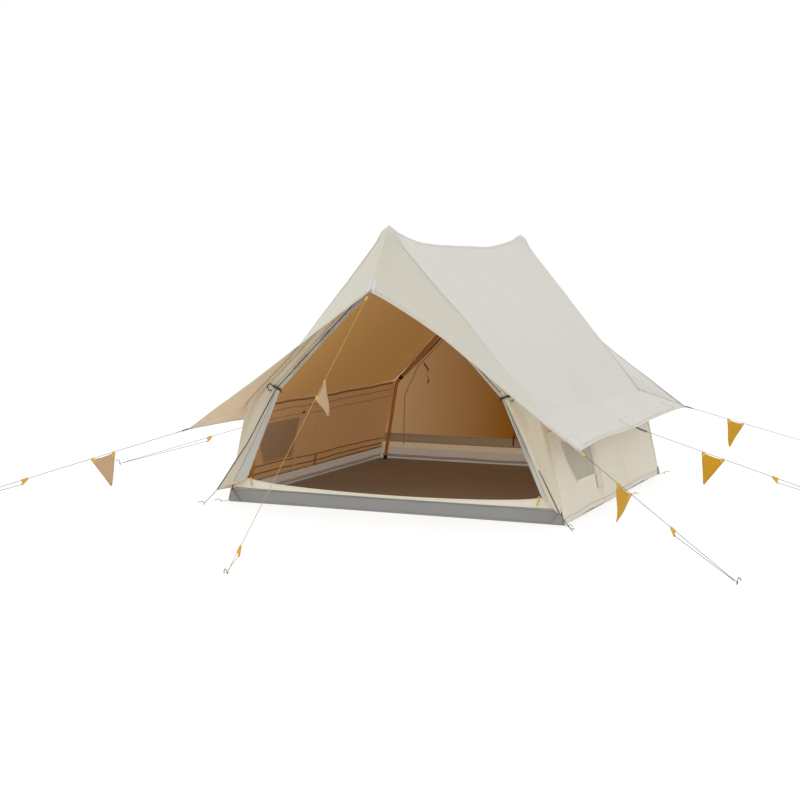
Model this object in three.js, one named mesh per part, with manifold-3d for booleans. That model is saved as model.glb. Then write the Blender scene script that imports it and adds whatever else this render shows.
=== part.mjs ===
// A two-peak cotton bell tent, pitched with its front doors gathered aside.
// Millimetres, +Z up. The origin is on the ground under the middle of the tent,
// the ridge runs along Y and the open doorway faces -Y.
import * as THREE from 'three';
import { mergeVertices } from 'three/addons/utils/BufferGeometryUtils.js';
import Module from 'manifold-3d';

const wasm = await Module();
wasm.setup();

// ---- Driving dimensions -------------------------------------------------

const CLOTH = 2.5; // thickness that every sheet of cloth is given
const SEAM = 1.5; // clear distance between two neighbouring sheets
const ROOF_DROP = 3.8; // upright depth of a sheet as steep as the roof
const EAVE_DROP = 2.8; // of one as shallow as the eaves
const AWNING_DROP = 5; // and of one as steep as the awnings
const AWNING_CLEAR = 9; // clear height left under the twisted awning sheets

const FLOOR_HALF_WIDTH = 1095;
const FLOOR_HALF_LENGTH = 1240;
const MUD_WALL_HEIGHT = 90;
const SILL_TOP = 157; // at the door's foot
const SILL_MIDDLE = 108; // the sill hangs lower halfway across the doorway

const PEAK = { y: 1300, z: 1730 }; // the two raised points of the ridge
const RIDGE_SAG = 102; // how far the unsupported ridge drops between them
const ROOF_BREAK = { x: 957, y: 1190, z: 615 }; // where the roof flattens into the eave
const EAVE_CORNER = { x: 1242, y: 1501, z: 480 };
const EAVE_MIDDLE = { x: 1245, z: 454 };
const EAVE_SCALLOP = 28; // how far the eave hem curves in between its tie points
const AWNING_TIP = { y: 1574, z: 1352 };
const AWNING_SCALLOP = 0.18; // share of the awning's depth that its hem curves in

const WALL_TOP = { x: 965, z: 600 };
const WALL_HEM = { x: 1104, z: 14 };
const GABLE_FOOT_Y = 1244; // outer face of the gable cloth at the ground
const GABLE_LEAN = 0.046; // outward lean of the gable cloth, per unit of height
const GABLE_HEM = 96;

const DOOR_TIE = { x: 724, z: 726 }; // where each door half is gathered and tied
const DOOR_APEX = 1435;
const DOOR_FOOT = { x: 966, z: 158 };

const POLE_RADIUS = 12.5;
const POLE_FOOT = { x: 1007, y: 1130 };
const POLE_ELBOW = { x: 939, y: 1189, z: 601 };
const POLE_APEX = { y: 1297.6, z: 1690 };
const POLE_BEND = 35; // length of tube that each side of an elbow's bend takes
const COLLAR_RADIUS = 15.5;
const COLLAR_LENGTH = 30;
const APEX_ARM = 70; // length of the apex connector along each rafter
const TOUCH = 0.3; // gap left between two pieces that meet face to face

const CORD_RADIUS = 1.5;
const PEG_RADIUS = 3;
const LOOP_RADIUS = PEG_RADIUS + 0.5 + CORD_RADIUS; // cord loop round a peg
const LOOP_HEIGHT = 12; // height of that loop above the ground

// Each guy line: where it leaves the canopy, where its peg is, and how far
// along the line its pennant and its runner sit.
const GUYS = [
  { name: 'front', from: [0, -1576, 1350], peg: [0, -3328], pennant: 786, runner: 2050 },
  { name: 'front_left', from: [-1243, -1502, 479], peg: [-2483, -2693], pennant: 478, runner: 1040 },
  { name: 'front_right', from: [1243, -1502, 479], peg: [2321, -2537], pennant: 432, runner: 995 },
  { name: 'mid_left', from: [-1248, 0, 454], peg: [-2661, -20], pennant: null, runner: 700 },
  { name: 'mid_right', from: [1248, 0, 454], peg: [2700, 0], pennant: 424, runner: 910 },
  { name: 'rear_right', from: [1243, 1502, 479], peg: [2460, 2671], pennant: 372, runner: 1120 },
];

// ---- Materials ----------------------------------------------------------

const material = (color, roughness, metalness = 0) =>
  new THREE.MeshStandardMaterial({ color, roughness, metalness });

const ROOF_CANVAS = () => material(0xd8d7d0, 0.9);
const WALL_CANVAS = () => material(0xcfc6b8, 0.9);
const GROUND_CLOTH = () => material(0x8f8c8c, 0.7);
const FLOOR_CLOTH = () => material(0x5c4530, 0.8);
const POLE_FINISH = () => material(0xb98a3f, 0.35, 0.7);
const COLLAR_PLASTIC = () => material(0x1c1b1a, 0.5);
const CORD_YARN = () => material(0xcfcabb, 0.85);
const RUNNER_PLASTIC = () => material(0xd69a22, 0.6);
const PENNANT_CLOTH = () => material(0xd8a531, 0.85);
const SAND_CLOTH = () => material(0xc9a987, 0.85);
const PEG_STEEL = () => material(0x7d7f82, 0.4, 0.9);
const ZIP_WEBBING = () => material(0xd9b640, 0.7);

// ---- Helpers ------------------------------------------------------------

const group = new THREE.Group();

function addMesh(name, geometry, finish, parent = group) {
  const mesh = new THREE.Mesh(geometry, finish);
  mesh.name = name;
  parent.add(mesh);
  return mesh;
}

const mix = THREE.MathUtils.lerp;

function mixPoints(a, b, share) {
  return a.map((value, axis) => mix(value, b[axis], share));
}

function signedVolume(points, triangles) {
  const corner = triangles.map((n) => new THREE.Vector3(...points[n]));
  let volume = 0;
  for (let n = 0; n < corner.length; n += 3) {
    volume += corner[n].dot(corner[n + 1].clone().cross(corner[n + 2])) / 6;
  }
  return volume;
}

function meshFrom(points, triangles) {
  const outward = signedVolume(points, triangles) > 0 ? triangles : [...triangles].reverse();
  const geometry = new THREE.BufferGeometry();
  geometry.setAttribute('position', new THREE.Float32BufferAttribute(points.flat(), 3));
  geometry.setIndex(outward);
  geometry.computeVertexNormals();
  return geometry;
}

// A sheet of cloth as a closed solid. outer(u, v) gives a point of its outer
// face for u and v from 0 to 1, and inward is the offset to its inner face.
function sheetSolid(outer, inward, columns, rows, side = 1) {
  const points = [];
  for (const depth of [0, 1]) {
    for (let row = 0; row <= rows; row += 1) {
      for (let column = 0; column <= columns; column += 1) {
        const point = outer(column / columns, row / rows).map((value, axis) => value + depth * inward[axis]);
        points.push([side * point[0], point[1], point[2]]);
      }
    }
  }
  const layer = (columns + 1) * (rows + 1);
  const at = (column, row, depth) => depth * layer + row * (columns + 1) + column;
  const triangles = [];
  const quad = (a, b, c, d) => triangles.push(a, b, c, a, c, d);
  for (let row = 0; row < rows; row += 1) {
    for (let column = 0; column < columns; column += 1) {
      quad(at(column, row, 0), at(column + 1, row, 0), at(column + 1, row + 1, 0), at(column, row + 1, 0));
      quad(at(column, row, 1), at(column, row + 1, 1), at(column + 1, row + 1, 1), at(column + 1, row, 1));
    }
  }
  for (let column = 0; column < columns; column += 1) {
    quad(at(column + 1, 0, 0), at(column, 0, 0), at(column, 0, 1), at(column + 1, 0, 1));
    quad(at(column, rows, 0), at(column + 1, rows, 0), at(column + 1, rows, 1), at(column, rows, 1));
  }
  for (let row = 0; row < rows; row += 1) {
    quad(at(0, row, 0), at(0, row + 1, 0), at(0, row + 1, 1), at(0, row, 1));
    quad(at(columns, row + 1, 0), at(columns, row, 0), at(columns, row, 1), at(columns, row + 1, 1));
  }
  return meshFrom(points, triangles);
}

function circle(radius, sides) {
  const shape = new THREE.Shape();
  for (let n = 0; n < sides; n += 1) {
    const angle = (2 * Math.PI * n) / sides;
    const method = n === 0 ? 'moveTo' : 'lineTo';
    shape[method](radius * Math.cos(angle), radius * Math.sin(angle));
  }
  shape.closePath();
  return shape;
}

function tube(path, radius, sides, steps) {
  return new THREE.ExtrudeGeometry(circle(radius, sides), { extrudePath: path, steps, bevelEnabled: false });
}

function straightTube(from, to, radius, sides) {
  return tube(new THREE.LineCurve3(from, to), radius, sides, 1);
}

function solidOf(geometry) {
  const bare = geometry.clone();
  bare.deleteAttribute('normal');
  bare.deleteAttribute('uv');
  const merged = mergeVertices(bare, 1e-4);
  const vertProperties = new Float32Array(merged.attributes.position.array);
  const triVerts = new Uint32Array(merged.index.array);
  return new wasm.Manifold(new wasm.Mesh({ numProp: 3, vertProperties, triVerts }));
}

function geometryOf(solid) {
  const result = solid.getMesh();
  const geometry = new THREE.BufferGeometry();
  geometry.setAttribute('position', new THREE.Float32BufferAttribute(result.vertProperties, 3));
  geometry.setIndex(Array.from(result.triVerts));
  geometry.computeVertexNormals();
  return geometry;
}

const SIDES = [
  { name: 'left', sign: -1 },
  { name: 'right', sign: 1 },
];
const ENDS = [
  { name: 'front', sign: -1 },
  { name: 'rear', sign: 1 },
];

// ---- Canopy -------------------------------------------------------------

// How much of the ridge's sag is left at a given place along the ridge.
const sagShare = (y) => 1 - Math.abs(y / PEAK.y) ** 3;

function roofPoint(u, v) {
  const halfLength = mix(PEAK.y, ROOF_BREAK.y, v);
  const y = mix(-halfLength, halfLength, u);
  const sag = RIDGE_SAG * sagShare((y / halfLength) * PEAK.y) * (1 - v) ** 2;
  return [mix(SEAM, ROOF_BREAK.x, v), y, mix(PEAK.z, ROOF_BREAK.z, v) - sag];
}

// Depth of a scalloped hem between two tie points, 0 at each of them.
const scallop = (share) => 4 * share * (1 - share);

function eavePoint(u, v) {
  const inner = [ROOF_BREAK.x + SEAM, mix(-ROOF_BREAK.y, ROOF_BREAK.y, u), ROOF_BREAK.z - SEAM];
  const across = Math.abs(2 * u - 1);
  const outer = [
    mix(EAVE_MIDDLE.x, EAVE_CORNER.x, across) - EAVE_SCALLOP * scallop(across),
    mix(-EAVE_CORNER.y, EAVE_CORNER.y, u),
    mix(EAVE_MIDDLE.z, EAVE_CORNER.z, across),
  ];
  return mixPoints(inner, outer, v);
}

// The awning hangs from the crease over the rafter out to its scalloped hem.
const awningCrease = (t) => [
  mix(SEAM, ROOF_BREAK.x, t),
  mix(PEAK.y, ROOF_BREAK.y, t) + SEAM,
  mix(PEAK.z, ROOF_BREAK.z, t) - SEAM,
];
const awningHem = (t) => [
  mix(SEAM, EAVE_CORNER.x, t),
  mix(AWNING_TIP.y, EAVE_CORNER.y, t) + SEAM,
  mix(AWNING_TIP.z, EAVE_CORNER.z, t) - SEAM,
];

function awningPoint(t, share) {
  const reach = share * (1 - AWNING_SCALLOP * scallop(t));
  return mixPoints(awningCrease(t), awningHem(t), reach);
}

for (const side of SIDES) {
  const roof = sheetSolid(roofPoint, [0, 0, -ROOF_DROP], 10, 4, side.sign);
  addMesh(`roof_${side.name}`, roof, ROOF_CANVAS());
  const eave = sheetSolid(eavePoint, [0, 0, -EAVE_DROP], 8, 2, side.sign);
  addMesh(`eave_${side.name}`, eave, ROOF_CANVAS());
  for (const end of ENDS) {
    const place = (u, v) => {
      const [x, y, z] = awningPoint(u, v);
      return [x, end.sign * y, z];
    };
    const awning = sheetSolid(place, [0, 0, -AWNING_DROP], 8, 3, side.sign);
    addMesh(`awning_${end.name}_${side.name}`, awning, ROOF_CANVAS());
  }
}

// ---- Gables and walls ---------------------------------------------------

const gableY = (z) => GABLE_FOOT_Y + GABLE_LEAN * z;
const wallX = (z) => mix(WALL_HEM.x, WALL_TOP.x, (z - WALL_HEM.z) / (WALL_TOP.z - WALL_HEM.z));

// The line where the gable cloth meets the underside of the awning, as
// [x, z] at a share t of the way from the peak to the eave.
function gableTop(t) {
  const crease = awningCrease(t);
  const hem = awningHem(t);
  const run = hem[1] - crease[1] - GABLE_LEAN * (hem[2] - crease[2]);
  const share = (GABLE_FOOT_Y + GABLE_LEAN * crease[2] - crease[1]) / run;
  const clear = AWNING_DROP + AWNING_CLEAR;
  const [x, , z] = mixPoints(crease, hem, share);
  return [x, z - clear];
}

const onGable = ([x, z], sign) => [x, sign * gableY(z), z];
const doorInnerEdge = (share) => [mix(2 * SEAM, DOOR_TIE.x, share), mix(DOOR_APEX, DOOR_TIE.z, share)];
const UPPER_DOOR_END = 0.855; // share of the gable's top edge that the upper door half takes
const GABLE_TOP_END = 0.93; // share at which that edge meets the side wall

function upperDoorPoint(u, v) {
  return onGable(mixPoints(doorInnerEdge(u), gableTop(u * UPPER_DOOR_END), v), -1);
}

// Inner and outer edges of the lower door half, from the tie to the ground.
const [SHOULDER_X, SHOULDER_Z] = gableTop(UPPER_DOOR_END);
const LOWER_DOOR = [
  [[DOOR_TIE.x, DOOR_TIE.z - SEAM], [SHOULDER_X, SHOULDER_Z - SEAM]],
  [[mix(DOOR_TIE.x, DOOR_FOOT.x, 0.2), mix(DOOR_TIE.z, DOOR_FOOT.z, 0.2)], [wallX(WALL_TOP.z), WALL_TOP.z]],
  [[DOOR_FOOT.x, DOOR_FOOT.z], [wallX(DOOR_FOOT.z), DOOR_FOOT.z]],
  [[DOOR_FOOT.x + 20, GABLE_HEM], [wallX(GABLE_HEM), GABLE_HEM]],
];

function lowerDoorPoint(u, v) {
  const [inner, outer] = LOWER_DOOR[Math.round(v * (LOWER_DOOR.length - 1))];
  return onGable(mixPoints(inner, outer, u), -1);
}

function wallPoint(u, v) {
  const z = mix(WALL_TOP.z, WALL_HEM.z, v);
  const end = gableY(z) - CLOTH - SEAM;
  return [wallX(z), mix(-end, end, u), z];
}

for (const side of SIDES) {
  addMesh(`wall_${side.name}`, sheetSolid(wallPoint, [-CLOTH, 0, -0.6], 1, 1, side.sign), WALL_CANVAS());
  const upper = sheetSolid(upperDoorPoint, [0, CLOTH, 0], 4, 1, side.sign);
  addMesh(`door_upper_${side.name}`, upper, WALL_CANVAS());
  const lower = sheetSolid(lowerDoorPoint, [0, CLOTH, 0], 1, LOWER_DOOR.length - 1, side.sign);
  addMesh(`door_lower_${side.name}`, lower, WALL_CANVAS());
}

// The rear gable is one closed door wall.
const REAR_GABLE_ROWS = [
  ...[0, 0.3, 0.6, GABLE_TOP_END].map(gableTop),
  [wallX(DOOR_FOOT.z), DOOR_FOOT.z],
  [wallX(GABLE_HEM), GABLE_HEM],
];

function rearGablePoint(u, v) {
  const [halfWidth, z] = REAR_GABLE_ROWS[Math.round(v * (REAR_GABLE_ROWS.length - 1))];
  return onGable([mix(-halfWidth, halfWidth, u), z], 1);
}

const rearGable = sheetSolid(rearGablePoint, [0, -CLOTH, 0], 1, REAR_GABLE_ROWS.length - 1);
addMesh('rear_gable', rearGable, WALL_CANVAS());

// ---- Groundsheet --------------------------------------------------------

const mudWallX = (z) => wallX(z) - (wallX(0) - FLOOR_HALF_WIDTH);
const FLOOR_INSET = CLOTH + TOUCH + 0.7;

function box(width, length, height, x, y, z) {
  const geometry = new THREE.BoxGeometry(width, length, height);
  geometry.translate(x, y, z);
  return geometry;
}

const floorWidth = 2 * (FLOOR_HALF_WIDTH - FLOOR_INSET);
const floorLength = 2 * (FLOOR_HALF_LENGTH - FLOOR_INSET);
addMesh('groundsheet_floor', box(floorWidth, floorLength, CLOTH, 0, 0, CLOTH / 2), FLOOR_CLOTH());

for (const side of SIDES) {
  const place = (u, v) => {
    const z = mix(MUD_WALL_HEIGHT, 0, v);
    return [mudWallX(z), mix(-FLOOR_HALF_LENGTH, FLOOR_HALF_LENGTH, u), z];
  };
  addMesh(`mud_wall_${side.name}`, sheetSolid(place, [-CLOTH, 0, 0], 1, 1, side.sign), GROUND_CLOTH());
}

// A strip across one end of the floor, between two heights.
function endStrip(sign, bottom, top) {
  const place = (u, v) => {
    const z = mix(top, bottom, v);
    const halfWidth = mudWallX(z) - CLOTH - SEAM;
    return [mix(-halfWidth, halfWidth, u), sign * FLOOR_HALF_LENGTH, z];
  };
  return sheetSolid(place, [0, -sign * CLOTH, 0], 1, 1);
}

for (const end of ENDS) {
  addMesh(`mud_wall_${end.name}`, endStrip(end.sign, 0, MUD_WALL_HEIGHT), GROUND_CLOTH());
}

// The sill's top edge rises in a straight line from the middle to each door's foot.
const sillTop = (x) => mix(SILL_MIDDLE, SILL_TOP, Math.min(1, Math.abs(x) / DOOR_FOOT.x));
const sillSlope = Math.atan2(SILL_TOP - SILL_MIDDLE, DOOR_FOOT.x);

function frontSill() {
  const bottom = MUD_WALL_HEIGHT + SEAM;
  const halfWidth = mudWallX(SILL_TOP) - CLOTH - SEAM;
  const stations = [-halfWidth, -DOOR_FOOT.x, 0, DOOR_FOOT.x, halfWidth];
  const place = (u, v) => {
    const x = stations[Math.round(u * (stations.length - 1))];
    return [x, -FLOOR_HALF_LENGTH, mix(sillTop(x), bottom, v)];
  };
  return sheetSolid(place, [0, CLOTH, 0], stations.length - 1, 1);
}

addMesh('front_sill', frontSill(), WALL_CANVAS());

// ---- Zip sliders --------------------------------------------------------

// Each slider sits astride the top edge of the sill, with its pull hanging in
// front. The outline is in Y and Z and is extruded along X.
const ZIP_X = 944;
const ZIP_WIDTH = 9;
const ZIP_SLACK = 0.6; // clear distance between the slider and the sill
const ZIP_FRONT = 5; // thickness in front of the sill
const ZIP_BACK = 4; // and behind it
const ZIP_CROWN = 6; // height above the sill's edge
const ZIP_SKIRT = 10; // depth below it
const ZIP_PULL = 58; // depth of the pull's tip below it
const ZIP_PULL_THICKNESS = 1.5;

function zipSlider(sign) {
  const sillFront = -FLOOR_HALF_LENGTH - ZIP_SLACK;
  const sillBack = -FLOOR_HALF_LENGTH + CLOTH + ZIP_SLACK;
  const face = sillFront - ZIP_FRONT;
  const pullBack = face + ZIP_PULL_THICKNESS;
  const back = sillBack + ZIP_BACK;
  const outline = new THREE.Shape();
  outline.moveTo(face, -ZIP_PULL);
  outline.lineTo(pullBack, -ZIP_PULL);
  outline.lineTo(pullBack, -ZIP_SKIRT);
  outline.lineTo(sillFront, -ZIP_SKIRT);
  outline.lineTo(sillFront, ZIP_SLACK);
  outline.lineTo(sillBack, ZIP_SLACK);
  outline.lineTo(sillBack, -ZIP_SKIRT);
  outline.lineTo(back, -ZIP_SKIRT);
  outline.lineTo(back, ZIP_CROWN);
  outline.lineTo(face, ZIP_CROWN);
  outline.closePath();
  const geometry = new THREE.ExtrudeGeometry(outline, { depth: ZIP_WIDTH, bevelEnabled: false });
  // The outline's own axes become Y and Z, and its depth runs along X.
  const turn = new THREE.Matrix4();
  turn.makeBasis(new THREE.Vector3(0, 1, 0), new THREE.Vector3(0, 0, 1), new THREE.Vector3(1, 0, 0));
  geometry.applyMatrix4(turn);
  geometry.translate(-ZIP_WIDTH / 2, 0, 0);
  geometry.rotateY(-sign * sillSlope);
  geometry.translate(sign * ZIP_X, 0, sillTop(ZIP_X));
  return geometry;
}

for (const side of SIDES) {
  addMesh(`zip_slider_${side.name}`, zipSlider(side.sign), ZIP_WEBBING());
}

// ---- Pole frames --------------------------------------------------------

function poleFrame(end) {
  for (const side of SIDES) {
    const spot = (x, y, z) => new THREE.Vector3(side.sign * x, end.sign * y, z);
    const foot = spot(POLE_FOOT.x, POLE_FOOT.y, CLOTH + TOUCH + 1.5);
    const elbow = spot(POLE_ELBOW.x, POLE_ELBOW.y, POLE_ELBOW.z);
    const apex = spot(0, POLE_APEX.y, POLE_APEX.z);
    const legWay = elbow.clone().sub(foot).normalize();
    const rafterWay = apex.clone().sub(elbow).normalize();
    const along = (distance) => elbow.clone().addScaledVector(rafterWay, distance);
    const rafterLength = apex.distanceTo(elbow);

    const leg = new THREE.CurvePath();
    const bendStart = elbow.clone().addScaledVector(legWay, -POLE_BEND);
    leg.add(new THREE.LineCurve3(foot, bendStart));
    leg.add(new THREE.QuadraticBezierCurve3(bendStart, elbow, along(POLE_BEND)));
    addMesh(`pole_leg_${end.name}_${side.name}`, tube(leg, POLE_RADIUS, 10, 22), POLE_FINISH());

    const collarStart = POLE_BEND + TOUCH;
    const collarEnd = collarStart + COLLAR_LENGTH;
    const collar = straightTube(along(collarStart), along(collarEnd), COLLAR_RADIUS, 12);
    addMesh(`pole_collar_${end.name}_${side.name}`, collar, COLLAR_PLASTIC());

    const rafterEnd = rafterLength - APEX_ARM - TOUCH;
    const rafter = straightTube(along(collarEnd + TOUCH), along(rafterEnd), POLE_RADIUS, 12);
    addMesh(`pole_rafter_${end.name}_${side.name}`, rafter, POLE_FINISH());
  }
}

function apexConnector(end) {
  const elbow = new THREE.Vector3(POLE_ELBOW.x, end.sign * POLE_ELBOW.y, POLE_ELBOW.z);
  const apex = new THREE.Vector3(0, end.sign * POLE_APEX.y, POLE_APEX.z);
  const right = apex.clone().add(elbow.sub(apex).setLength(APEX_ARM));
  const left = right.clone().setX(-right.x);
  const bend = new THREE.QuadraticBezierCurve3(left, apex, right);
  addMesh(`apex_connector_${end.name}`, tube(bend, COLLAR_RADIUS - 1, 10, 8), COLLAR_PLASTIC());
}

for (const end of ENDS) {
  poleFrame(end);
  apexConnector(end);
}

// ---- Guy lines ----------------------------------------------------------

// In a guy line's own frame X runs down the line from the canopy to the peg,
// Z points up and away from the tent, and Y is level.
const RUNNER_THICKNESS = 9;
const RUNNER_BORE = CORD_RADIUS + 0.6;
const RUNNER = { nose: -24, base: 20, low: -32, high: 6 };
const RETURN_Z = -25; // height at which the returning strand meets the runner

function runnerPlate() {
  const outline = new THREE.Shape();
  outline.moveTo(RUNNER.nose, -5);
  outline.lineTo(RUNNER.base, RUNNER.low);
  outline.lineTo(RUNNER.base, RUNNER.high);
  outline.lineTo(RUNNER.nose, RUNNER.high);
  outline.closePath();
  const plate = new THREE.ExtrudeGeometry(outline, { depth: RUNNER_THICKNESS, bevelEnabled: false });
  plate.rotateX(Math.PI / 2);
  plate.translate(0, RUNNER_THICKNESS / 2, 0);
  const bore = straightTube(
    new THREE.Vector3(RUNNER.nose - 5, 0, 0),
    new THREE.Vector3(RUNNER.base + 5, 0, 0),
    RUNNER_BORE,
    10,
  );
  return geometryOf(solidOf(plate).subtract(solidOf(bore)));
}

const PENNANT = { base: 150, height: 192, thickness: 2 };
const TAB = { length: 20, inner: CORD_RADIUS + 0.7, outer: CORD_RADIUS + 2.5 };

// A triangular flag under the line, held on it by a tab at each top corner.
function pennant() {
  const flagTop = -TAB.outer + 1;
  const outline = new THREE.Shape();
  outline.moveTo(0, flagTop);
  outline.lineTo(PENNANT.base, flagTop);
  outline.lineTo(PENNANT.base / 2 + 2, -PENNANT.height);
  outline.lineTo(PENNANT.base / 2 - 2, -PENNANT.height);
  outline.closePath();
  const flag = new THREE.ExtrudeGeometry(outline, { depth: PENNANT.thickness, bevelEnabled: false });
  flag.rotateX(Math.PI / 2);
  flag.translate(0, PENNANT.thickness / 2, 0);
  let solid = solidOf(flag);
  for (const start of [0, PENNANT.base - TAB.length]) {
    const from = new THREE.Vector3(start, 0, 0);
    const to = new THREE.Vector3(start + TAB.length, 0, 0);
    const before = new THREE.Vector3(start - 5, 0, 0);
    const after = new THREE.Vector3(start + TAB.length + 5, 0, 0);
    solid = solid.add(solidOf(straightTube(from, to, TAB.outer, 10)));
    solid = solid.subtract(solidOf(straightTube(before, after, TAB.inner, 10)));
  }
  return geometryOf(solid);
}

// The line itself: down to the peg, once round it, and back to the runner.
function guyCord(length, runnerAt) {
  const end = length - LOOP_RADIUS + CORD_RADIUS / 2;
  const main = straightTube(new THREE.Vector3(0, 0, 0), new THREE.Vector3(end, 0, 0), CORD_RADIUS, 8);
  const loop = new THREE.TorusGeometry(LOOP_RADIUS, CORD_RADIUS, 8, 14);
  loop.translate(length, 0, 0);
  const meeting = new THREE.Vector3(runnerAt + RUNNER.base + TOUCH, 0, RETURN_Z);
  const back = straightTube(new THREE.Vector3(end, 0, 0), meeting, CORD_RADIUS, 8);
  return geometryOf(solidOf(main).add(solidOf(loop)).add(solidOf(back)));
}

// A bent steel peg, drawn from the ground up, square to the line.
function peg(slope) {
  const ground = -LOOP_HEIGHT / Math.cos(slope) + PEG_RADIUS * Math.tan(slope) + 0.2;
  const path = new THREE.CatmullRomCurve3([
    new THREE.Vector3(0, 0, ground),
    new THREE.Vector3(0, 0, 18),
    new THREE.Vector3(6, 0, 29),
    new THREE.Vector3(18, 0, 31),
    new THREE.Vector3(24, 0, 20),
  ]);
  return tube(path, PEG_RADIUS, 8, 14);
}

for (const guy of GUYS) {
  const start = new THREE.Vector3(...guy.from);
  const end = new THREE.Vector3(...guy.peg, LOOP_HEIGHT);
  const down = end.clone().sub(start);
  const length = down.length();
  down.normalize();
  const level = new THREE.Vector3(0, 0, 1).cross(down).normalize();
  const up = down.clone().cross(level);
  const slope = Math.asin(-down.z);

  const line = new THREE.Group();
  line.position.copy(start);
  line.quaternion.setFromRotationMatrix(new THREE.Matrix4().makeBasis(down, level, up));
  group.add(line);

  addMesh(`guy_cord_${guy.name}`, guyCord(length, guy.runner), CORD_YARN(), line);
  const runner = addMesh(`guy_runner_${guy.name}`, runnerPlate(), RUNNER_PLASTIC(), line);
  runner.position.x = guy.runner;
  const stake = addMesh(`guy_peg_${guy.name}`, peg(slope), PEG_STEEL(), line);
  stake.position.x = length;
  if (guy.pennant !== null) {
    const sandy = guy.name === 'front' || guy.name === 'front_left';
    const finish = sandy ? SAND_CLOTH() : PENNANT_CLOTH();
    const flag = addMesh(`pennant_${guy.name}`, pennant(), finish, line);
    flag.position.x = guy.pennant;
  }
}

export default group;
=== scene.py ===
"""The look of a two-peak cotton bell tent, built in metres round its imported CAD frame."""
import math

import bpy
import numpy as np
from mathutils import Matrix, Vector, noise


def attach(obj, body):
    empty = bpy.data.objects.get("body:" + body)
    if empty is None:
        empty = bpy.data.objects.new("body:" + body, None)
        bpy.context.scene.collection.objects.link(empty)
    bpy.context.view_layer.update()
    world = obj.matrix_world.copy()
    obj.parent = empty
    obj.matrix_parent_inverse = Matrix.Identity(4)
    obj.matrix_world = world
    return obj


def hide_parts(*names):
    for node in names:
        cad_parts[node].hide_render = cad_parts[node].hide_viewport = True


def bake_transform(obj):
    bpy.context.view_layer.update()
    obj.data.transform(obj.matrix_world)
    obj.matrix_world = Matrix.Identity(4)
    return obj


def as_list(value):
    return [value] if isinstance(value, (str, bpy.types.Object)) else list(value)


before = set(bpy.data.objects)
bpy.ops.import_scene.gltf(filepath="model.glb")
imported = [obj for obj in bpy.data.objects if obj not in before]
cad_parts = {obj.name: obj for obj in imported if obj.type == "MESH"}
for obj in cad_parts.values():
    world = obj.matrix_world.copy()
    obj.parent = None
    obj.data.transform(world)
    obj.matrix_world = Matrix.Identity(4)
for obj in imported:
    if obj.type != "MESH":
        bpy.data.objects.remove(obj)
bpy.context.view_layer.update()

# ---- Dimensions, as in the CAD model but in metres -----------------------

CLOTH = 0.0016
PEAK_Y, PEAK_Z = 1.300, 1.730
RIDGE_SAG = 0.102
BREAK_X, BREAK_Y, BREAK_Z = 0.957, 1.190, 0.615
CORNER_X, CORNER_Y, CORNER_Z = 1.242, 1.501, 0.480
MIDDLE_X, MIDDLE_Z = 1.230, 0.470
REAR_CORNER_X = 1.224
TIP_Y, TIP_Z = 1.574, 1.352
EAVE_SCALLOP = 0.024
AWNING_SCALLOP = 0.18
STRAIGHT_SCALLOP = 0.03
AWNING_HOLLOW = 0.026
WALL_TOP_X, WALL_TOP_Z = 0.965, 0.606
WALL_HEM_X, WALL_HEM_Z = 1.104, 0.008
GABLE_FOOT_Y, GABLE_LEAN = 1.244, 0.046
MUD_TOP = 0.090
SILL_TOP = 0.157
SILL_MIDDLE = 0.105
FLOOR_X, FLOOR_Y = 1.095, 1.240
CORD_RADIUS = 0.0015
LOOP_HEIGHT = 0.012
LOOP_RADIUS = 0.005
RUNNER_BASE = 0.020
RETURN_DROP = 0.025
STRAND_SIDES = 8
COVERED_WEBBING = ("front_right",)
PENNANT_BASE, PENNANT_HEIGHT = 0.150, 0.192

GUYS = [
    {"name": "front", "start": (0, -1.576, 1.350), "peg": (0, -3.328), "pennant": 0.786, "runner": 2.050},
    {"name": "front_left", "start": (-1.243, -1.502, 0.479), "peg": (-2.483, -2.693), "pennant": 0.478, "runner": 1.040},
    {"name": "front_right", "start": (1.243, -1.502, 0.479), "peg": (2.321, -2.537), "pennant": 0.432, "runner": 0.995},
    {"name": "mid_left", "start": (-1.248, 0, 0.454), "peg": (-2.661, -0.020), "pennant": None, "runner": 0.700,
     "hold": (-1.205, 0, 0.474)},
    {"name": "mid_right", "start": (1.248, 0, 0.454), "peg": (2.700, 0), "pennant": 0.424, "runner": 0.910,
     "hold": (1.205, 0, 0.474)},
    {"name": "rear_right", "start": (1.243, 1.502, 0.479), "peg": (2.460, 2.671), "pennant": 0.372, "runner": 1.120,
     "hold": (1.200, 1.470, 0.482)},
]


def mix(a, b, share):
    return a + (b - a) * share


# ---- Camera --------------------------------------------------------------

def make_camera():
    data = bpy.data.cameras.new("camera")
    data.lens = 70.83
    data.sensor_width = 36
    camera = bpy.data.objects.new("camera", data)
    bpy.context.scene.collection.objects.link(camera)
    right = Vector((0.92825, 0.37183, 0.00977))
    up = Vector((-0.04145, 0.07730, 0.99615))
    back = Vector((0.36964, -0.92508, 0.08717))
    turn = Matrix((right, up, back)).transposed().to_4x4()
    camera.matrix_world = Matrix.Translation((3.5686, -10.0209, 1.5197)) @ turn
    bpy.context.scene.camera = camera


make_camera()

# ---- Materials -----------------------------------------------------------


def new_material(name, roughness=0.9, metallic=0.0, sheen=0.0):
    material = bpy.data.materials.new(name)
    material.use_nodes = True
    shader = material.node_tree.nodes["Principled BSDF"]
    shader.inputs["Roughness"].default_value = roughness
    shader.inputs["Metallic"].default_value = metallic
    shader.inputs["Sheen Weight"].default_value = sheen
    return material


def shade(color, amount):
    return tuple(min(1.0, c * amount) for c in color) + (1.0,)


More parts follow.
